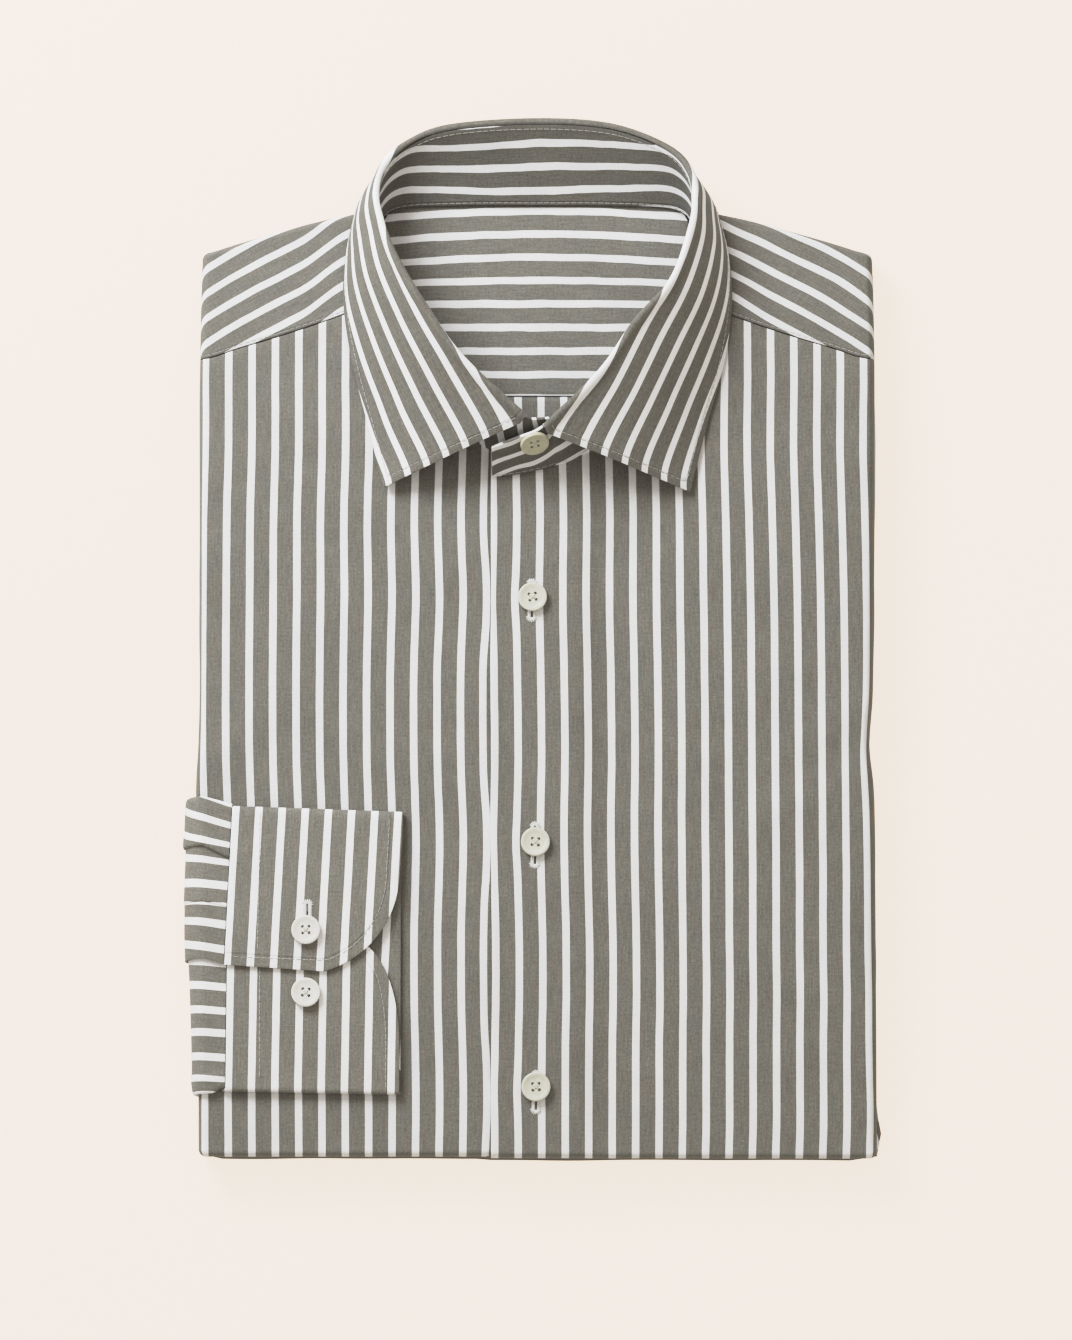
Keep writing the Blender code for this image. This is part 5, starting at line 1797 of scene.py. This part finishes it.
leafSide = outwardSign(leafRows, len(leafRows) - 12, len(leafRows[0]) - 8, upwards)
sewAlong("collarLeafStitching", [leafStitching()])

standSide = outwardSign(standRows, len(standRows) // 2, 8, Vector((0.0, -1.0, 0.3)))
standLines = []
for row, low, high in ((0.45, 4.0, 22.0), (15.2, 8.0, 19.0)):
    path = [(k / 2.0, row) for k in range(int(low * collarSteps * 2), int(high * collarSteps * 2))]
    standLines.append(surfaceLine(standRows, path, cloth["wall"] / 2.0, standSide))
frontEnd = [(k / 2.0, 0.8) for k in range(2, int(4.0 * collarSteps * 2))]
standLines.append(surfaceLine(standRows, frontEnd, cloth["wall"] / 2.0, -standSide))
sewAlong("collarStandStitching", standLines)

yokeLines = []
for rows in (yokeRightRows, yokeLeftRows):
    points, normals = [], []
    for i in range(len(rows[0]) - 7):
        low = rows[0][i]
        a = next(j for j in range(len(rows)) if (rows[j][i] - low).length > yoke["seamStitch"])
        before, after = rows[a - 1][i], rows[a][i]
        span = (after - low).length - (before - low).length
        t = (yoke["seamStitch"] - (before - low).length) / span
        points.append(before.lerp(after, t))
        normals.append(upwards)
    yokeLines.append((points, normals))
sewAlong("yokeStitching", yokeLines)


# a line at an even distance inside the cuff's edges
def cuffStitching(lap):
    inset, endInset = cuff["stitch"], cuff["endStitch"]
    end, wide = cuffLap(lap)["end"], cuffLap(lap)["corner"]
    start = end + lap * (cuff["cornerY"] - cuff["cornerReach"])
    far = cuff["top"] - 2.0 if lap > 0 else cuff["bottom"] + 2.0
    points = [Vector((cuffEdgeX(y, lap) - inset, y)) for y in spaced(far, start, 3.0)[:-1]]
    edge = cuffEdgeX(start, lap)
    for k in range(25):
        turn = math.radians(76.0 * k / 24)
        x = edge - wide + (wide - inset) * math.cos(turn)
        y = start - lap * (cuff["cornerY"] - endInset + 0.6) * math.sin(turn)
        points.append(Vector((x, min(y, end - endInset) if lap < 0 else max(y, end + endInset))))
    seam = cuffSeamX(end, lap) + 1.0
    for x in spaced(points[-1].x, seam, 4.0)[1:]:
        points.append(Vector((x, end + lap * endInset)))
    drop = [cuffDrop(p.y) * (p.x - seam) / (edge - seam) for p in points]
    return [Vector((p.x, p.y + d)) for p, d in zip(points, drop)]


def cuffRise(y, lap):
    rows = [bend for bend in cuff["section"] if bend["lap"] == lap]
    rows = sorted(rows, key=lambda bend: bend["y"])
    return along(rows, y, "rise")


def cuffSurface(x, y, lap=1.0):
    return bodyHeight(x, y) + cuffRise(y, lap) + cloth["wall"] / 2.0


def cuffLine(path, lap):
    points = [Vector((p.x, p.y, cuffSurface(p.x, p.y, lap))) for p in path]
    return points, [upwards] * len(path)


overEnd = cuffLap(1)["end"]
lowerLine = [p for p in cuffStitching(-1.0) if p.y < overEnd + 2.0]
cuffLines = [cuffLine(cuffStitching(1.0), 1.0), cuffLine(lowerLine, -1.0)]
for lap, lean, start, end in (
    (1.0, cuff["innerLean"], cuff["top"] - 2.0, overEnd + 4.0),
    (-1.0, 0.0, overEnd - 1.0, cuff["bottom"] + 3.0),
):
    ys = spaced(start, end, 3.0)
    path = [Vector((cuff["innerStitch"] + lean * (cuff["top"] - y) / 60.0, y)) for y in ys]
    cuffLines.append(cuffLine(path, lap))
sewAlong("cuffStitching", cuffLines)

ribBlank = makeStrand("rib", sewing["ribRadius"], sewing["ribArch"])


# a worked buttonhole: close stitches all round a slit
def buttonhole(name, centre, surface, length):
    half = length / 2.0 - sewing["slitEnd"]
    wide = sewing["holeWidth"] / 2.0 - sewing["slit"]
    step = sewing["ribPitch"]
    count = round(2.0 * half / step)
    turns = round(math.pi * 1.1 / step)
    ring = []
    for side in (1.0, -1.0):
        for k in range(count):
            ring.append((side, 0.0, side * (2.0 * k / count - 1.0) * half, wide))
        for k in range(turns):
            angle = math.pi * k / turns
            hx, hy = side * math.cos(angle), side * math.sin(angle)
            ring.append((hx, hy, side * half, sewing["slitEnd"]))
    places = []
    for k, (hx, hy, lengthwise, long) in enumerate(ring):
        fray = noise.noise(Vector((k * 0.9, 3.0, centre[1]))) * sewing["fray"]
        x = centre[0] + hx * sewing["slit"]
        y = centre[1] + lengthwise + hy * 0.2
        place = placed(Vector((x, y, surface(x, y))), Vector((hx, hy, 0.0)), upwards)
        places.append(place @ Matrix.Diagonal((long * (1.0 + fray), 1.0, 1.0, 1.0)))
    copies(name, ribBlank, places, holeLook)


# the slit itself shows the shaded cloth beneath
def makeSlit():
    deselectAll()
    bpy.ops.mesh.primitive_cube_add(size=1.0)
    blank = bpy.context.object
    blank.scale = (2.0 * sewing["slit"], 1.0, 0.3)
    bpy.ops.object.transform_apply(location=False, rotation=False, scale=True)
    bpy.ops.object.mode_set(mode="EDIT")
    bpy.ops.mesh.select_all(action="SELECT")
    bpy.ops.mesh.subdivide(number_cuts=7)
    bpy.ops.object.mode_set(mode="OBJECT")
    return blank


slitBlank = makeSlit()


def slit(name, centre, surface, length, closed):
    mesh = slitBlank.data.copy()
    for vert in mesh.vertices:
        x = centre[0] + vert.co.x
        y = centre[1] - closed / 2.0 + vert.co.y * (length - 2.0 * sewing["slitEnd"] - closed)
        vert.co = toFrame(Vector((x, y, surface(x, y) + vert.co.z - sewing["slitDepth"])))
    addPiece(name, mesh, slitLook)


holes = []
for number, row in enumerate(fastening["buttons"], 1):
    length = sewing["holeLength"] + row["longer"]
    spot = (row["x"] - 0.55, row["y"] - 0.5 - row["longer"] / 2.0)
    holes.append(("front", number, spot, frontHeight, length, sewing["slitClosed"]))
spot = (cuff["buttonX"] + 0.5, cuff["laps"][0]["button"] + 3.6)
holes.append(("cuff", "", spot, cuffSurface, sewing["cuffHoleLength"], sewing["cuffSlitClosed"]))
for place, number, spot, surface, length, closed in holes:
    buttonhole(f"{place}Buttonhole{number}", spot, surface, length)
    slit(f"{place}Slit{number}", spot, surface, length, closed)
for blank in (stitchBlank, ribBlank, slitBlank):
    bpy.data.objects.remove(blank)

print("stage: floor, lights and camera")

studio = {
    "floorColour": (0.25, 0.235, 0.22, 1.0),
    "floorBounce": (0.80, 0.74, 0.67, 1.0),
    "floorGlow": (1.0, 0.74, 0.56, 1.0),
    "floorGlowStrength": 1.62,
    "floorSize": 6.0,
    "lens": 250.0,
    "elevation": 81.0,
    "cameraDistance": 3536.0,
    "target": (0.0, 185.574, 20.0),
    "tones": (
        (0.0, 0.0), (0.15, 0.125), (0.3, 0.265), (0.5, 0.45), (0.8, 0.66),
        (1.2, 0.78), (1.6, 0.845), (2.2, 0.92), (3.0, 1.0),
    ),
    "ambient": 0.80,
    "ambientColour": (1.06, 1.0, 0.91, 1.0),
    "keyPlace": (-0.72, 0.90, 0.882),
    "keySize": 0.75,
    "keyPower": 31.6,
    "keyColour": (0.955, 1.0, 1.065),
}

deselectAll()
bpy.ops.mesh.primitive_plane_add(size=studio["floorSize"], location=(0.0, 0.0, -0.0002))
floor = bpy.context.object
floor.name = "floor"
floorLook, tree, shader = newMaterial("paleFloor")
cloud = mapRange(tree, noiseNode(tree, objectPlace(tree), 3.0, 2.0), 0.3, 0.7, 0.0, 1.0)
shown = mixColour(tree, cloud, toned(studio["floorColour"], 0.985), studio["floorColour"])
# the floor throws plain pale light on the cloth, and looks lit evenly itself
seen = addNode(tree, "LightPath").outputs["Is Camera Ray"]
setInputs(tree, shader, {
    "Base Color": mixColour(tree, seen, studio["floorBounce"], shown),
    "Emission Color": mixColour(tree, seen, (0.0, 0.0, 0.0, 1.0), studio["floorGlow"]),
    "Emission Strength": studio["floorGlowStrength"],
    "Roughness": 0.9,
    "Specular IOR Level": 0.1,
})
floor.data.materials.append(floorLook)

world = bpy.data.worlds.new("studioWorld")
bpy.context.scene.world = world
world.use_nodes = True
setInputs(
    world.node_tree, world.node_tree.nodes["Background"],
    {"Color": studio["ambientColour"], "Strength": studio["ambient"]},
)

lampData = bpy.data.lights.new("keyLight", "AREA")
lampData.shape = "DISK"
lampData.size = studio["keySize"]
lampData.energy = studio["keyPower"]
lampData.color = studio["keyColour"]
lamp = bpy.data.objects.new("keyLight", lampData)
lamp.location = studio["keyPlace"]
lamp.rotation_euler = (-Vector(studio["keyPlace"])).to_track_quat("-Z", "Y").to_euler()
bpy.context.scene.collection.objects.link(lamp)

cameraData = bpy.data.cameras.new("camera")
cameraData.lens = studio["lens"]
cameraData.sensor_width = 36.0
cameraData.clip_end = 100.0
camera = bpy.data.objects.new("camera", cameraData)
bpy.context.scene.collection.objects.link(camera)
elevation = math.radians(studio["elevation"])
back = Vector((0.0, -math.cos(elevation), math.sin(elevation)))
camera.location = toFrame(Vector(studio["target"]) + back * studio["cameraDistance"])
camera.rotation_euler = (math.radians(90.0) - elevation, 0.0, 0.0)
bpy.context.scene.camera = camera

# white cloth in full light is held just below the brightest tone
look = bpy.context.scene.view_settings
look.view_transform = "Standard"
look.use_curve_mapping = True
toneCurve = look.curve_mapping
toneCurve.clip_max_x = 3.0
toneCurve.use_clip = True
tones = studio["tones"]
curve = toneCurve.curves[3]
curve.points[0].location = tones[0]
curve.points[1].location = tones[-1]
for tone in tones[1:-1]:
    curve.points.new(*tone)
toneCurve.update()

print("stage: done")
